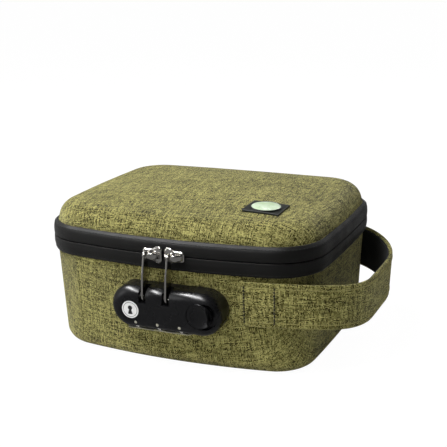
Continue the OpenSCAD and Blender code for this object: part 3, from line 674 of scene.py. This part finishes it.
def half_loop(side):
    """Plan path of the strap from its sewn end to the loop's outermost point."""
    p0 = wall_face(SEWN[1], side)
    p1 = p0 + np.array([20, side * -5]) * MM
    p3 = np.array([STRAP_REACH - STRAP_T / 2, side * 16 * MM])
    p2 = p3 + np.array([0, side * 34]) * MM
    sewn = [wall_face(x, side) for x in steps(SEWN[0], SEWN[1], 10, False)]
    free = [
        p0 * (1 - t) ** 3 + p1 * 3 * t * (1 - t) ** 2 + p2 * 3 * t * t * (1 - t) + p3 * t**3
        for t in steps(0, 1, 30)
    ]
    return sewn + free


LOOP = np.array(half_loop(-1) + half_loop(1)[::-1])
LOOP_NORMALS = np.gradient(LOOP, axis=0)[:, ::-1] * (1, -1)
LOOP_NORMALS /= np.linalg.norm(LOOP_NORMALS, axis=1)[:, None]
LOOP_DROOP = STRAP_DROOP * np.maximum(0, (LOOP[:, 0] - SEWN[1]) / (STRAP_REACH - SEWN[1])) ** 2


def ribbon(name, section, material):
    """A strap whose section holds (offset from the wall, height over the strap's middle) points."""
    section = np.array(section)
    off = section[:, :1] + section[:, 1:] * math.tan(WALL_LEAN)
    return carry(name, section, off, LOOP, LOOP_NORMALS, STRAP_Z - LOOP_DROOP, material)


# Distance of the strap's seams from its edges, and how wide the groove of a seam is
SEAM_IN = 3.4 * MM
GROOVE_W = 0.55 * MM


def strap_section(off0, off1, trim, corner, groove=0.0):
    """Rounded section of a strap, with a groove along each edge for its seam."""
    half = STRAP_H / 2 - trim
    middle = (off0 + off1) / 2
    cut = corner * 0.3
    edge = off1 - cut
    rise = steps(corner - half, half - corner, 72)
    outer = [(off1 - groove * math.exp(-(((half - abs(z) - SEAM_IN) / GROOVE_W) ** 2)), z) for z in rise]
    inner = [(off0, z) for z in rise[::-3]]
    return [*outer, (edge, half - cut), (middle, half), *inner, (middle, -half), (edge, cut - half)]


place(
    ribbon("handle_cloth", strap_section(STRAP_OFF, STRAP_OFF + STRAP_T, 0, 0.8 * MM, 0.3 * MM), CLOTH),
    "base", "strap_cloth", "handle_strap",
)
place(
    ribbon("handle_webbing", strap_section(WEB_OFF, WEB_OFF + WEB_T, 1.5 * MM, 0.3 * MM), WEBBING),
    "base", "strap_lining", "handle_lining",
)


# Rows of stitches, coil loops and the like: one item repeated along paths by geometry nodes

def make_run():
    """Node group: places an item at even spacing along the edges of a path mesh."""
    tree = bpy.data.node_groups.new("run_along", "GeometryNodeTree")
    for name, kind in (
        ("Geometry", "NodeSocketGeometry"), ("Item", "NodeSocketObject"), ("Spacing", "NodeSocketFloat"),
        ("Jitter", "NodeSocketFloat"), ("Seed", "NodeSocketInt"), ("Finish", "NodeSocketMaterial"),
    ):
        tree.interface.new_socket(name, in_out="INPUT", socket_type=kind)
    tree.interface.new_socket("Geometry", in_out="OUTPUT", socket_type="NodeSocketGeometry")
    given, out = tree.nodes.new("NodeGroupInput"), tree.nodes.new("NodeGroupOutput")
    curve = tree_node(tree, "GeometryNodeMeshToCurve", {0: given.outputs["Geometry"]})
    upright = tree_node(tree, "GeometryNodeSetCurveNormal", {0: curve.outputs[0]}, mode="Z_UP")
    spots = tree_node(tree, "GeometryNodeCurveToPoints", {0: upright.outputs[0]}, mode="LENGTH")
    tree.links.new(given.outputs["Spacing"], spots.inputs["Length"])
    item = tree_node(tree, "GeometryNodeObjectInfo", {0: given.outputs["Item"]})
    wiring = {"Points": spots.outputs["Points"], "Rotation": spots.outputs["Rotation"]}
    wiring["Instance"] = item.outputs["Geometry"]
    placed = tree_node(tree, "GeometryNodeInstanceOnPoints", wiring)
    chance = tree_node(tree, "FunctionNodeRandomValue", {"Seed": given.outputs["Seed"]}, data_type="FLOAT")
    chance.inputs[2].default_value = -1.0
    chance.inputs[3].default_value = 1.0
    turn = calc(tree, "MULTIPLY", chance.outputs[1], given.outputs["Jitter"])
    angles = tree_node(tree, "ShaderNodeCombineXYZ", {0: turn})
    wiring = {0: placed.outputs[0], "Rotation": angles.outputs[0]}
    turned = tree_node(tree, "GeometryNodeRotateInstances", wiring)
    solid = tree_node(tree, "GeometryNodeRealizeInstances", {0: turned.outputs[0]})
    wiring = {0: solid.outputs[0], "Material": given.outputs["Finish"]}
    dressed = tree_node(tree, "GeometryNodeSetMaterial", wiring)
    tree.links.new(dressed.outputs[0], out.inputs[0])
    return tree


def make_item(name, build):
    """A hidden mesh object that a run repeats; its length lies along Z."""
    shape = bmesh.new()
    build(shape)
    return bpy.data.objects.new(name, mesh_of(shape, name))


def capsule(length, thick):
    """One stitch: a long, round bead."""
    def build(shape):
        bmesh.ops.create_uvsphere(shape, u_segments=8, v_segments=6, radius=0.5)
        for v in shape.verts:
            v.co = Vector((v.co.x * thick, v.co.y * thick, v.co.z * length))
    return build


def join_rings(shape, rings, closed=False):
    """Faces between neighbouring rings of vertices, and from the last ring to the first if closed."""
    count = len(rings[0])
    followers = rings[1:] + rings[:1] if closed else rings[1:]
    for a, b in zip(rings, followers):
        for k in range(count):
            shape.faces.new((a[k], a[(k + 1) % count], b[(k + 1) % count], b[k]))


def loop_of(width, thick):
    """One turn of a coil, in the plane across the run."""
    def build(shape):
        around, section = 12, 5
        rings = []
        for k in range(around):
            a = 2 * math.pi * k / around
            ring = []
            for j in range(section):
                b = 2 * math.pi * j / section
                r = width / 2 - thick / 2 + thick / 2 * math.cos(b)
                z = thick / 2 * math.sin(b) + thick * 0.25 * math.cos(a)
                ring.append(shape.verts.new((r * math.cos(a), r * math.sin(a), z)))
            rings.append(ring)
        join_rings(shape, rings, closed=True)
    return build


RUN = make_run()


def run_along(name, paths, item, spacing, finish, body, slot, *replaced, jitter=0.0, seed=1):
    """A piece made of an item repeated along open paths."""
    points, edges = [], []
    for path in paths:
        first = len(points)
        points += [tuple(p) for p in path]
        edges += [(first + k, first + k + 1) for k in range(len(path) - 1)]
    mesh = bpy.data.meshes.new(name + "_path")
    mesh.from_pydata(points, edges, [])
    guide = link_new(name + "_path", mesh)
    bpy.context.scene.collection.objects.link(item)
    run = guide.modifiers.new("run", "NODES")
    run.node_group = RUN
    values = {"Item": item, "Spacing": spacing, "Jitter": jitter, "Seed": seed, "Finish": finish}
    for socket in RUN.interface.items_tree:
        if socket.in_out == "INPUT" and socket.name in values:
            run[socket.identifier] = values[socket.name]
    made_mesh = evaluated_mesh(guide)
    bpy.data.objects.remove(item)
    made_mesh.name = name
    made_mesh.materials.clear()
    return place(finish_mesh(made_mesh, name, finish, sharp=60), body, slot, *replaced)


def zip_path(inset, z):
    """Path along the zip at an inset and a height."""
    points, normals = trace(ZIP_RUN, False)
    return at_height(points - normals * inset, z)


COIL_W = 1.66 * MM
COIL_WIRE = 0.62 * MM
COIL_PITCH = 1.15 * MM
COIL_MID = 0.5 * MM + TAPE_T + 0.06 * MM + 0.85 * MM
COIL_RISE = 0.28 * MM + 0.85 * MM
for half, body, z in (("lower", "base", ZIP_MID - COIL_RISE), ("upper", "lid", ZIP_MID + COIL_RISE)):
    loop = make_item("coil_loop", loop_of(COIL_W, COIL_WIRE))
    path = [zip_path(COIL_MID, z)]
    run_along(half + "_coil", path, loop, COIL_PITCH, COIL_NYLON, body, "zip_coil", half + "_zip_coil")


def strap_line(height, out):
    """Path on the strap's outer face at a height over its middle."""
    off = out + height * math.tan(WALL_LEAN)
    return at_height(LOOP + LOOP_NORMALS * off, STRAP_Z + height - LOOP_DROOP)


STITCH = 2.1 * MM
SEAM_OUT = STRAP_OFF + STRAP_T - 0.02 * MM
SEAM_HEIGHT = STRAP_H / 2 - SEAM_IN
seams = [strap_line(height, SEAM_OUT) for height in (SEAM_HEIGHT, -SEAM_HEIGHT)]
stitch = make_item("stitch", capsule(STITCH * 0.9, 0.75 * MM))
run_along("strap_seams", seams, stitch, STITCH, THREAD, "base", "strap_cloth", jitter=0.05, seed=4)


def cross_seam(side, x):
    """Upright line of stitching at x that holds a strap end to the wall, on its outer face."""
    at = wall_face(x, side)
    ahead = wall_face(x + 0.1 * MM, side) - at
    normal = np.array([ahead[1], -ahead[0]]) * (1 if side < 0 else -1) / np.linalg.norm(ahead)
    return [
        (*(at + normal * (SEAM_OUT + z * math.tan(WALL_LEAN))), STRAP_Z + z)
        for z in steps(-SEAM_HEIGHT, SEAM_HEIGHT, 8)
    ]


CROSS_SEAMS = (SEWN[0] + 2.6 * MM, SEWN[1] - 1.2 * MM)
boxes = [cross_seam(side, x) for side in (-1, 1) for x in CROSS_SEAMS]
# The box stitches' dark colour is painted shade in their grooves
stitch = make_item("stitch", capsule(STITCH * 0.98, 1.1 * MM))
name = "strap_box_stitches"
run_along(name, boxes, stitch, STITCH, GROOVE_SHADE_THREAD, "base", "strap_cloth", jitter=0.08, seed=9)

TAPE_STITCH = 2.4 * MM
TAPE_SEAM_IN = 1.5 * MM
for half, body, inset, z in (
    ("lower", "base", 0.62 * MM, ZIP_LOW + TAPE_SEAM_IN),
    ("upper", "lid", 0.75 * MM, ZIP_HIGH - TAPE_SEAM_IN),
):
    stitch = make_item("stitch", capsule(TAPE_STITCH * 0.8, 0.42 * MM))
    path = [zip_path(inset, z)]
    name = half + "_tape_stitches"
    run_along(name, path, stitch, TAPE_STITCH, BLACK_THREAD, body, "zip_tape", jitter=0.06, seed=12)


# Cloth hinge along the back, in one piece from base to lid

def make_hinge():
    """Both halves of the band in one strip, with a shallow groove where it folds."""
    lower, upper = tape_section(False), tape_section(True)
    last = len(lower) // 2 - 4
    groove = [
        (inset * MM, ZIP_MID + rise * MM)
        for inset, rise in ((0.1, -1.2), (0.16, -0.4), (0.16, 0.4), (0.1, 1.2))
    ]
    outer = np.vstack([lower[1:last], groove, upper[1:last][::-1]])
    inner = outer[::-1] + np.array([TAPE_T, 0])
    hinge = sweep("hinge_cloth", np.vstack([outer, inner]), (BACK_ARC,), TAPE)
    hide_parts("hinge_strip")
    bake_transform(hinge)


make_hinge()


# Lock, sliders and pullers: the frame's shapes with their edges rounded

EDGE_ANGLE = math.radians(40)
FLAT_ANGLE = math.radians(0.6)
WELD = 0.004 * MM


def rounded(node_name, width, finish, body, slot):
    """Replaces a node by a copy of it whose sharp edges are rounded."""
    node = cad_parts[node_name]
    shape = bmesh.new()
    shape.from_mesh(node.data)
    bmesh.ops.transform(shape, matrix=node.matrix_world, verts=shape.verts)
    bmesh.ops.remove_doubles(shape, verts=shape.verts, dist=WELD)
    bmesh.ops.dissolve_limit(
        shape, angle_limit=FLAT_ANGLE, use_dissolve_boundaries=False, verts=shape.verts, edges=shape.edges
    )
    helper = link_new(node_name + "_raw", mesh_of(shape, node_name + "_raw"))
    bevel = helper.modifiers.new("edges", "BEVEL")
    bevel.width = width
    bevel.segments = 2
    bevel.limit_method = "ANGLE"
    bevel.angle_limit = EDGE_ANGLE
    bevel.use_clamp_overlap = True
    bevel.harden_normals = True
    made_mesh = evaluated_mesh(helper)
    made_mesh.name = node_name + "_body"
    made_mesh.materials.clear()
    made_mesh.materials.append(finish)
    return place(link_new(node_name + "_body", made_mesh), body, slot, node_name)


# Node, width of its rounded edges, finish, body and slot
ROUNDED = (
    ("lock_housing", 0.32 * MM, BLACK_PLASTIC, "base", "lock_black"),
    ("release_button", 0.35 * MM, BLACK_PLASTIC, "latch", "lock_black"),
    ("dial_1", 0.15 * MM, DIAL_PLASTIC, "wheel_1", "lock_dial"),
    ("dial_2", 0.15 * MM, DIAL_PLASTIC, "wheel_2", "lock_dial"),
    ("dial_3", 0.15 * MM, DIAL_PLASTIC, "wheel_3", "lock_dial"),
    # The trim's pale colour is a painted reflection of the floor along the lock's lower edge; the index pins
    # are pale marks
    ("dial_trim", 0.1 * MM, PIPS_AND_PAINTED_REFLECTION, "base", "lock_trim"),
    ("index_pins", 0.12 * MM, PIPS_AND_PAINTED_REFLECTION, "base", "lock_trim"),
    ("lock_badge", 0.14 * MM, WHITE, "base", "white_disc"),
    ("lid_patch", 0.35 * MM, PATCH, "lid", "patch_black"),
    ("left_puller", 0.3 * MM, NICKEL, "left_puller", "zinc"),
    ("right_puller", 0.3 * MM, NICKEL, "right_puller", "zinc"),
    ("lock_back_plate", 0.25 * MM, ZINC, "base", "steel"),
    ("lock_screws", 0.15 * MM, STEEL, "base", "steel"),
)
for entry in ROUNDED:
    rounded(*entry)


BAR_OUT = 5 * MM
PLATE_OUT = 0.45 * MM
PLATE_T = 1.1 * MM
COIL_SPACE = 2.2 * MM
INNER_PLATE_Y = TAPE_T + COIL_SPACE + PLATE_OUT


def along_front(x, y, z, at):
    """World point of a slider's own (x, y, z), made at the middle of the front and turned to at."""
    turn = math.asin(at / FRONT_BOW)
    out = y - FRONT_BOW
    return (
        x * math.cos(turn) - out * math.sin(turn),
        FRONT_BOW - HALF_D + x * math.sin(turn) + out * math.cos(turn),
        ZIP_MID + z,
    )


def plate_grid(side):
    """Outer face of the shield-shaped plate, with turned-down flanges and a swelling along its middle."""
    half_l, wide, narrow, nose = 6.5 * MM, 5.3 * MM, 3.6 * MM, 1.9 * MM
    columns, rows = 28, 14
    grid = []
    for x in steps(-half_l, half_l, columns):
        shoulder = 1 / (1 + math.exp(-(x * side - 1.2 * MM) / (0.9 * MM)))
        end = min(half_l - abs(x), nose) / nose
        span = narrow + (wide - narrow) * shoulder
        span *= 0.72 + 0.28 * math.sqrt(max(0.0, 1 - (1 - end) ** 2))
        line = []
        for t in steps(-1, 1, rows):
            flange = 0.75 * MM * (max(0.0, abs(t) - 0.72) / 0.28) ** 2
            drop = flange + 0.35 * MM * (1 - end) ** 2
            swell = 0.35 * MM * math.exp(-((t / 0.35) ** 2)) * end
            line.append((x, -PLATE_OUT - PLATE_T + drop - swell, span * t))
        grid.append(line)
    return grid


def add_plate(shape, side):
    """The face plate as a closed solid."""
    grid = plate_grid(side)
    m, n = len(grid), len(grid[0])
    front = [[shape.verts.new(p) for p in line] for line in grid]
    back = []
    for i, line in enumerate(grid):
        inner = [0 < j < n - 1 and 0 < i < m - 1 for j in range(n)]
        ys = [-PLATE_OUT if flat else min(-PLATE_OUT, p[1] + 0.35 * MM) for p, flat in zip(line, inner)]
        back.append([shape.verts.new((p[0], y, p[2])) for p, y in zip(line, ys)])
    for i in range(m - 1):
        for j in range(n - 1):
            shape.faces.new((front[i][j], front[i + 1][j], front[i + 1][j + 1], front[i][j + 1]))
            shape.faces.new((back[i][j], back[i][j + 1], back[i + 1][j + 1], back[i + 1][j]))
    rim = [(i, 0) for i in range(m)] + [(m - 1, j) for j in range(1, n)]
    rim += [(i, n - 1) for i in range(m - 2, -1, -1)] + [(0, j) for j in range(n - 2, 0, -1)]
    for (i, j), (k, l) in zip(rim, rim[1:] + rim[:1]):
        shape.faces.new((front[i][j], back[i][j], back[k][l], front[k][l]))


# Feet of the slider's arch, left and right of its bar, in millimetres
ARCH_LEFT = ((-5.6, -1.0), (-5.2, -2.6), (-4.5, -4.1))
ARCH_RIGHT = ((2.4, -4.6), (3.9, -3.3), (4.9, -1.8), (5.3, -1.0))
ARCH_SIDES = 14


def add_arch(shape, bar):
    """Arch over the plate: narrow and round at the bar where the puller hangs, wide at its feet."""
    half_bar, bar_r = 0.85 * MM, 0.93 * MM
    top = [(x, -BAR_OUT) for x in (bar - half_bar, bar, bar + half_bar, 0.6 * MM)]
    left, right = ([(x * MM, y * MM) for x, y in foot] for foot in (ARCH_LEFT, ARCH_RIGHT))
    curve = smooth_through([*left, *top, *right], 4)
    along = np.gradient(curve, axis=0)
    along /= np.linalg.norm(along, axis=1)[:, None]
    rings = []
    for (x, y), (tx, ty) in zip(curve, along):
        spread = min(1.0, max(0.0, (abs(x - bar) - 0.8 * MM) / (1.8 * MM)))
        thick = bar_r - 0.25 * MM * spread
        wide = bar_r + 1.1 * MM * spread
        squareness = 1 - 0.35 * spread
        ring = []
        for k in range(ARCH_SIDES):
            a = 2 * math.pi * k / ARCH_SIDES
            c, d = (math.copysign(abs(v) ** squareness, v) for v in (math.cos(a), math.sin(a)))
            ring.append(shape.verts.new((x - ty * thick * c, y + tx * thick * c, wide * d)))
        rings.append(ring)
    join_rings(shape, rings)
    shape.faces.new(rings[0])
    shape.faces.new(rings[-1][::-1])


def add_block(shape, xs, ys, half_z, edge):
    """A block with rounded edges between two x and two y values."""
    middle = Vector((sum(xs) / 2, sum(ys) / 2, 0))
    size = Vector((abs(xs[1] - xs[0]), ys[1] - ys[0], 2 * half_z))
    made = bmesh.ops.create_cube(shape, size=1)["verts"]
    for v in made:
        v.co = middle + v.co * size
    edges = list({e for v in made for e in v.link_edges})
    bmesh.ops.bevel(shape, geom=edges, offset=edge, segments=2, affect="EDGES")


def make_slider(name, at, puller_x, side):
    """Slider: face plate, arch with the puller's bar, blade in the slit, and inner plate."""
    shape = bmesh.new()
    add_plate(shape, side)
    add_arch(shape, puller_x - at)
    blade = (2.5 * MM * side, 6.0 * MM * side)
    add_block(shape, blade, (-PLATE_OUT - 0.2 * MM, INNER_PLATE_Y + 0.1 * MM), 0.14 * MM, 0.1 * MM)
    add_block(shape, (-5.5 * MM, 5.5 * MM), (INNER_PLATE_Y, INNER_PLATE_Y + PLATE_T), 3.5 * MM, 0.35 * MM)
    for v in shape.verts:
        v.co = Vector(along_front(*v.co, at))
    mesh = mesh_of(shape, name + "_body")
    place(finish_mesh(mesh, name + "_body", NICKEL, sharp=50), name, "zinc", name)


# Each slider's place along the front, its puller's, and the side that its shoulders are on
make_slider("left_slider", -5.9 * MM, -8.8 * MM, 1)
make_slider("right_slider", 9.1 * MM, 7.0 * MM, -1)


# Dome on the lid's patch

PATCH_AT = (53.8 * MM, -41.1 * MM)
PATCH_SHARE = 0.745
PATCH_TILT = (math.radians(2.4), math.radians(2.6))
DOME_FOOT = 0.74 * MM
DOME_R = 9.12
DOME_SEGMENTS = 96
# Outlines as radius and height over the patch, in millimetres
BEZEL = ((9.1, 0.3), (9.15, 0.62), (9.3, 0.75), (9.6, 0.72), (9.88, 0.5), (9.95, 0.2), (9.95, 0.0), (9.1, 0.0))
DOME_CAP = [(DOME_R * math.cos(a), 0.45 + math.sin(a)) for a in steps(0.05, 1.5, 12)]
DOME = ((DOME_R, 0.0), (DOME_R, 0.45), *DOME_CAP)


def turned_piece(name, outline, finish, ends):
    """An outline turned round the patch's own tilted axis."""
    seat = Matrix.Translation((*PATCH_AT, CASE_H - CROWN_RISE * PATCH_SHARE**2))
    seat = seat @ Matrix.Rotation(PATCH_TILT[1], 4, "Y") @ Matrix.Rotation(PATCH_TILT[0], 4, "X")
    angles = steps(0, 2 * math.pi, DOME_SEGMENTS, False)
    rows = [
        [seat @ Vector((r * MM * math.cos(a), r * MM * math.sin(a), DOME_FOOT + z * MM)) for a in angles]
        for r, z in outline
    ]
    uvs = [[(k / DOME_SEGMENTS, i / len(outline)) for k in range(DOME_SEGMENTS)] for i in range(len(outline))]
    return grid_mesh(name, rows, uvs, finish, ends=ends)


place(turned_piece("patch_bezel", (*BEZEL, BEZEL[0]), PATCH, None), "lid", "patch_black")
place(turned_piece("mint_dome", DOME, MINT, "point"), "lid", "dome_green", "lid_dome")


# Sign and numerals on the lock, in the lock's own frame

LOCK_FRAME = Matrix.Translation((LOCK_X, WALL_Y, LOCK_Z)) @ Matrix.Rotation(WALL_LEAN, 4, "X")
DISC_AT = Vector((-22.5 * MM, -LOCK_T - 0.1 * MM, -0.6 * MM))
# Foot of the keyhole under its round head, and the fine ring's radii with their rise, in millimetres
KEYHOLE_FOOT = ((1.55, -2.7), (1.2, -3.05), (-1.2, -3.05), (-1.55, -2.7))
DISC_RING = ((4.55, -0.03), (4.62, 0.05), (4.82, 0.05), (4.9, -0.03))


def make_keyhole():
    """Dark keyhole sign inlaid in the white disc: a round head over a flared foot, inside a fine ring."""
    shape = bmesh.new()

    def on_disc(u, w, rise):
        return shape.verts.new(DISC_AT + Vector((u, -rise, w)) * MM)

    outline = [(1.5 * math.sin(a), 1.2 + 1.5 * math.cos(a)) for a in steps(-2.6, 2.6, 28)]
    outline += KEYHOLE_FOOT
    top, low = ([on_disc(u, w, rise) for u, w in outline] for rise in (0.06, -0.05))
    shape.faces.new(top)
    shape.faces.new(low[::-1])
    join_rings(shape, [top, low])
    angles = steps(0, 2 * math.pi, 48, False)
    join_rings(
        shape,
        [[on_disc(r * math.cos(a), r * math.sin(a), rise) for a in angles] for r, rise in DISC_RING],
        closed=True,
    )
    shape.transform(LOCK_FRAME)
    place(finish_mesh(mesh_of(shape, "keyhole_sign"), "keyhole_sign", INK, sharp=30), "base", "white_disc")


make_keyhole()

DIALS = 3
DIAL_R = 6.2 * MM
DIAL_AT = Vector((-19.3 * MM, -6.9 * MM, -9 * MM))
DIAL_PITCH = 14.9 * MM
DIGIT_SIZE = 4.2 * MM
DIGIT_RISE = 0.1 * MM


def digit_mesh(digit):
    """A flat, slightly raised numeral, middle at the origin."""
    text = bpy.data.curves.new("digit", "FONT")
    text.body = str(digit)
    text.size = DIGIT_SIZE
    text.extrude = DIGIT_RISE
    text.resolution_u = 3
    text.align_x = text.align_y = "CENTER"
    return evaluated_mesh(link_new("digit", text))


def make_digits(number):
    """Raised numerals 0 to 9 round a dial, bent on its rim."""
    centre = DIAL_AT + Vector((DIAL_PITCH * number, 0, 0))
    shape = bmesh.new()
    for digit in range(10):
        flat = digit_mesh(digit)
        first = len(shape.verts)
        shape.from_mesh(flat)
        shape.verts.ensure_lookup_table()
        for v in shape.verts[first:]:
            angle = math.radians(36 * digit) + v.co.y / DIAL_R
            r = DIAL_R + v.co.z - 0.02 * MM
            v.co = centre + Vector((v.co.x, -r * math.cos(angle), r * math.sin(angle)))
        bpy.data.meshes.remove(flat)
    shape.transform(LOCK_FRAME)
    name = f"dial_digits_{number + 1}"
    place(finish_mesh(mesh_of(shape, name), name, DIGIT_INK), f"wheel_{number + 1}", "lock_dial")


for number in range(DIALS):
    make_digits(number)

# Finishes of the frame's nodes that stay as they are
NODE_FINISH = {
    "dial_axle": STEEL,
    "detent_spring": STEEL,
    "cam_1": BRASS,
    "cam_2": BRASS,
    "cam_3": BRASS,
    "latch_bar": ZINC,
}
for node_name, finish in NODE_FINISH.items():
    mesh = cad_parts[node_name].data
    mesh.materials.clear()
    mesh.materials.append(finish)


# Camera, light and backdrop

IMAGE = 447
FOCAL_PX = 1006.4
TARGET_PX = (213.7, 254.7)
VIEW_AZ = math.radians(23.75)
VIEW_EL = math.radians(17.3)
VIEW_ROLL = math.radians(-1.03)
VIEW_DIST = 690 * MM
TARGET = Vector((0, 0, 51.5 * MM))


def make_camera():
    """Camera at the photograph's place."""
    data = bpy.data.cameras.new("camera")
    camera = link_new("camera", data)
    back = Vector(
        (math.sin(VIEW_AZ) * math.cos(VIEW_EL), -math.cos(VIEW_AZ) * math.cos(VIEW_EL), math.sin(VIEW_EL))
    )
    camera.location = TARGET + back * VIEW_DIST
    turn = (-back).to_track_quat("-Z", "Y").to_matrix() @ Matrix.Rotation(VIEW_ROLL, 3, "Z")
    camera.rotation_euler = turn.to_euler()
    data.sensor_width = 36
    data.lens = 36 * FOCAL_PX / IMAGE
    data.shift_x = (IMAGE / 2 - TARGET_PX[0]) / IMAGE
    data.shift_y = (TARGET_PX[1] - IMAGE / 2) / IMAGE
    data.clip_start, data.clip_end = 0.01, 50
    bpy.context.scene.camera = camera


# Ambient light from the left and from the right, the floor's brightness in reflections, and the power of
# the lamp that only shows in reflections
AMBIENT = (0.42, 0.15)
FLOOR_MIRRORED = 0.25
GLEAM_POWER = 15.0


def area_light(name, at, aim, size, size_y, power, lights_cloth=True):
    """Rectangular lamp; with lights_cloth off it only shows in reflections."""
    data = bpy.data.lights.new(name, "AREA")
    data.shape = "RECTANGLE"
    data.size, data.size_y = size, size_y
    data.energy = power
    lamp = link_new(name, data)
    lamp.location = at
    lamp.visible_diffuse = lights_cloth
    lamp.rotation_euler = (Vector(at) - Vector(aim)).to_track_quat("Z", "Y").to_euler()


def ray_kinds(tree):
    """Two values, each 1 or 0: for rays that the camera sees straight, and for mirrored ones."""
    path = tree.nodes.new("ShaderNodeLightPath")
    seen = calc(tree, "MAXIMUM", path.outputs["Is Camera Ray"], path.outputs["Is Transmission Ray"])
    return seen, path.outputs["Is Glossy Ray"]


def make_world():
    """White behind the object; a dim room with a bright ceiling side for everything that reflects it."""
    world = bpy.data.worlds.new("studio")
    bpy.context.scene.world = world
    world.use_nodes = True
    tree = world.node_tree
    tree.nodes.clear()
    seen, mirrored = ray_kinds(tree)
    generated = tree.nodes.new("ShaderNodeTexCoord").outputs["Generated"]
    way = tree_node(tree, "ShaderNodeSeparateXYZ", {0: generated})
    left = remap(tree, calc(tree, "MULTIPLY", way.outputs[0], -1.0), -0.5, 0.9, 0.02, 0.4)
    ambient = remap(tree, way.outputs[0], -1.0, 1.0, AMBIENT[0], AMBIENT[1])
    room = calc(tree, "ADD", ambient, calc(tree, "MULTIPLY", mirrored, calc(tree, "SUBTRACT", left, ambient)))
    strength = calc(tree, "ADD", room, calc(tree, "MULTIPLY", seen, calc(tree, "SUBTRACT", 1.0, room)))
    shown = tree_node(tree, "ShaderNodeBackground", {"Color": (1, 1, 1, 1), "Strength": strength})
    tree.links.new(shown.outputs[0], tree.nodes.new("ShaderNodeOutputWorld").inputs[0])


def make_floor():
    """Pale floor that the camera sees as plain white, with a trace of shadow."""
    mesh = bpy.data.meshes.new("floor")
    reach = 4.0
    corners = [(x * reach, y * reach, 0) for x, y in ((-1, -1), (1, -1), (1, 1), (-1, 1))]
    mesh.from_pydata(corners, [], [(0, 1, 2, 3)])
    floor = link_new("floor", mesh)
    made, tree, shader = new_material("pale_floor", (0.8, 0.8, 0.8), 0.9)
    seen, mirrored = ray_kinds(tree)
    strength = remap(tree, mirrored, 0.0, 1.0, 1.05, FLOOR_MIRRORED)
    glow = tree_node(tree, "ShaderNodeEmission", {"Color": (1, 1, 1, 1), "Strength": strength})
    share = calc(tree, "MAXIMUM", calc(tree, "MULTIPLY", seen, 0.93), mirrored)
    mixed = tree_node(tree, "ShaderNodeMixShader", {0: share, 1: shader.outputs[0], 2: glow.outputs[0]})
    tree.links.new(mixed.outputs[0], tree.nodes["Material Output"].inputs[0])
    mesh.materials.append(made)


def make_stage():
    """World, floor and lamps."""
    bpy.context.scene.view_settings.view_transform = "Standard"
    make_world()
    make_floor()
    middle = (0, 0, 50 * MM)
    area_light("key", (-0.36, -0.3, 0.86), middle, 0.95, 0.34, 10.8)
    area_light("gleam", (-0.385, -0.297, 0.874), middle, 0.8, 0.1, GLEAM_POWER, False)
    area_light("side", (-0.95, -0.75, 0.35), middle, 0.5, 0.7, 2.0)
    area_light("back", (0.35, 0.9, 0.7), middle, 0.8, 0.4, 2.5)


make_camera()
make_stage()
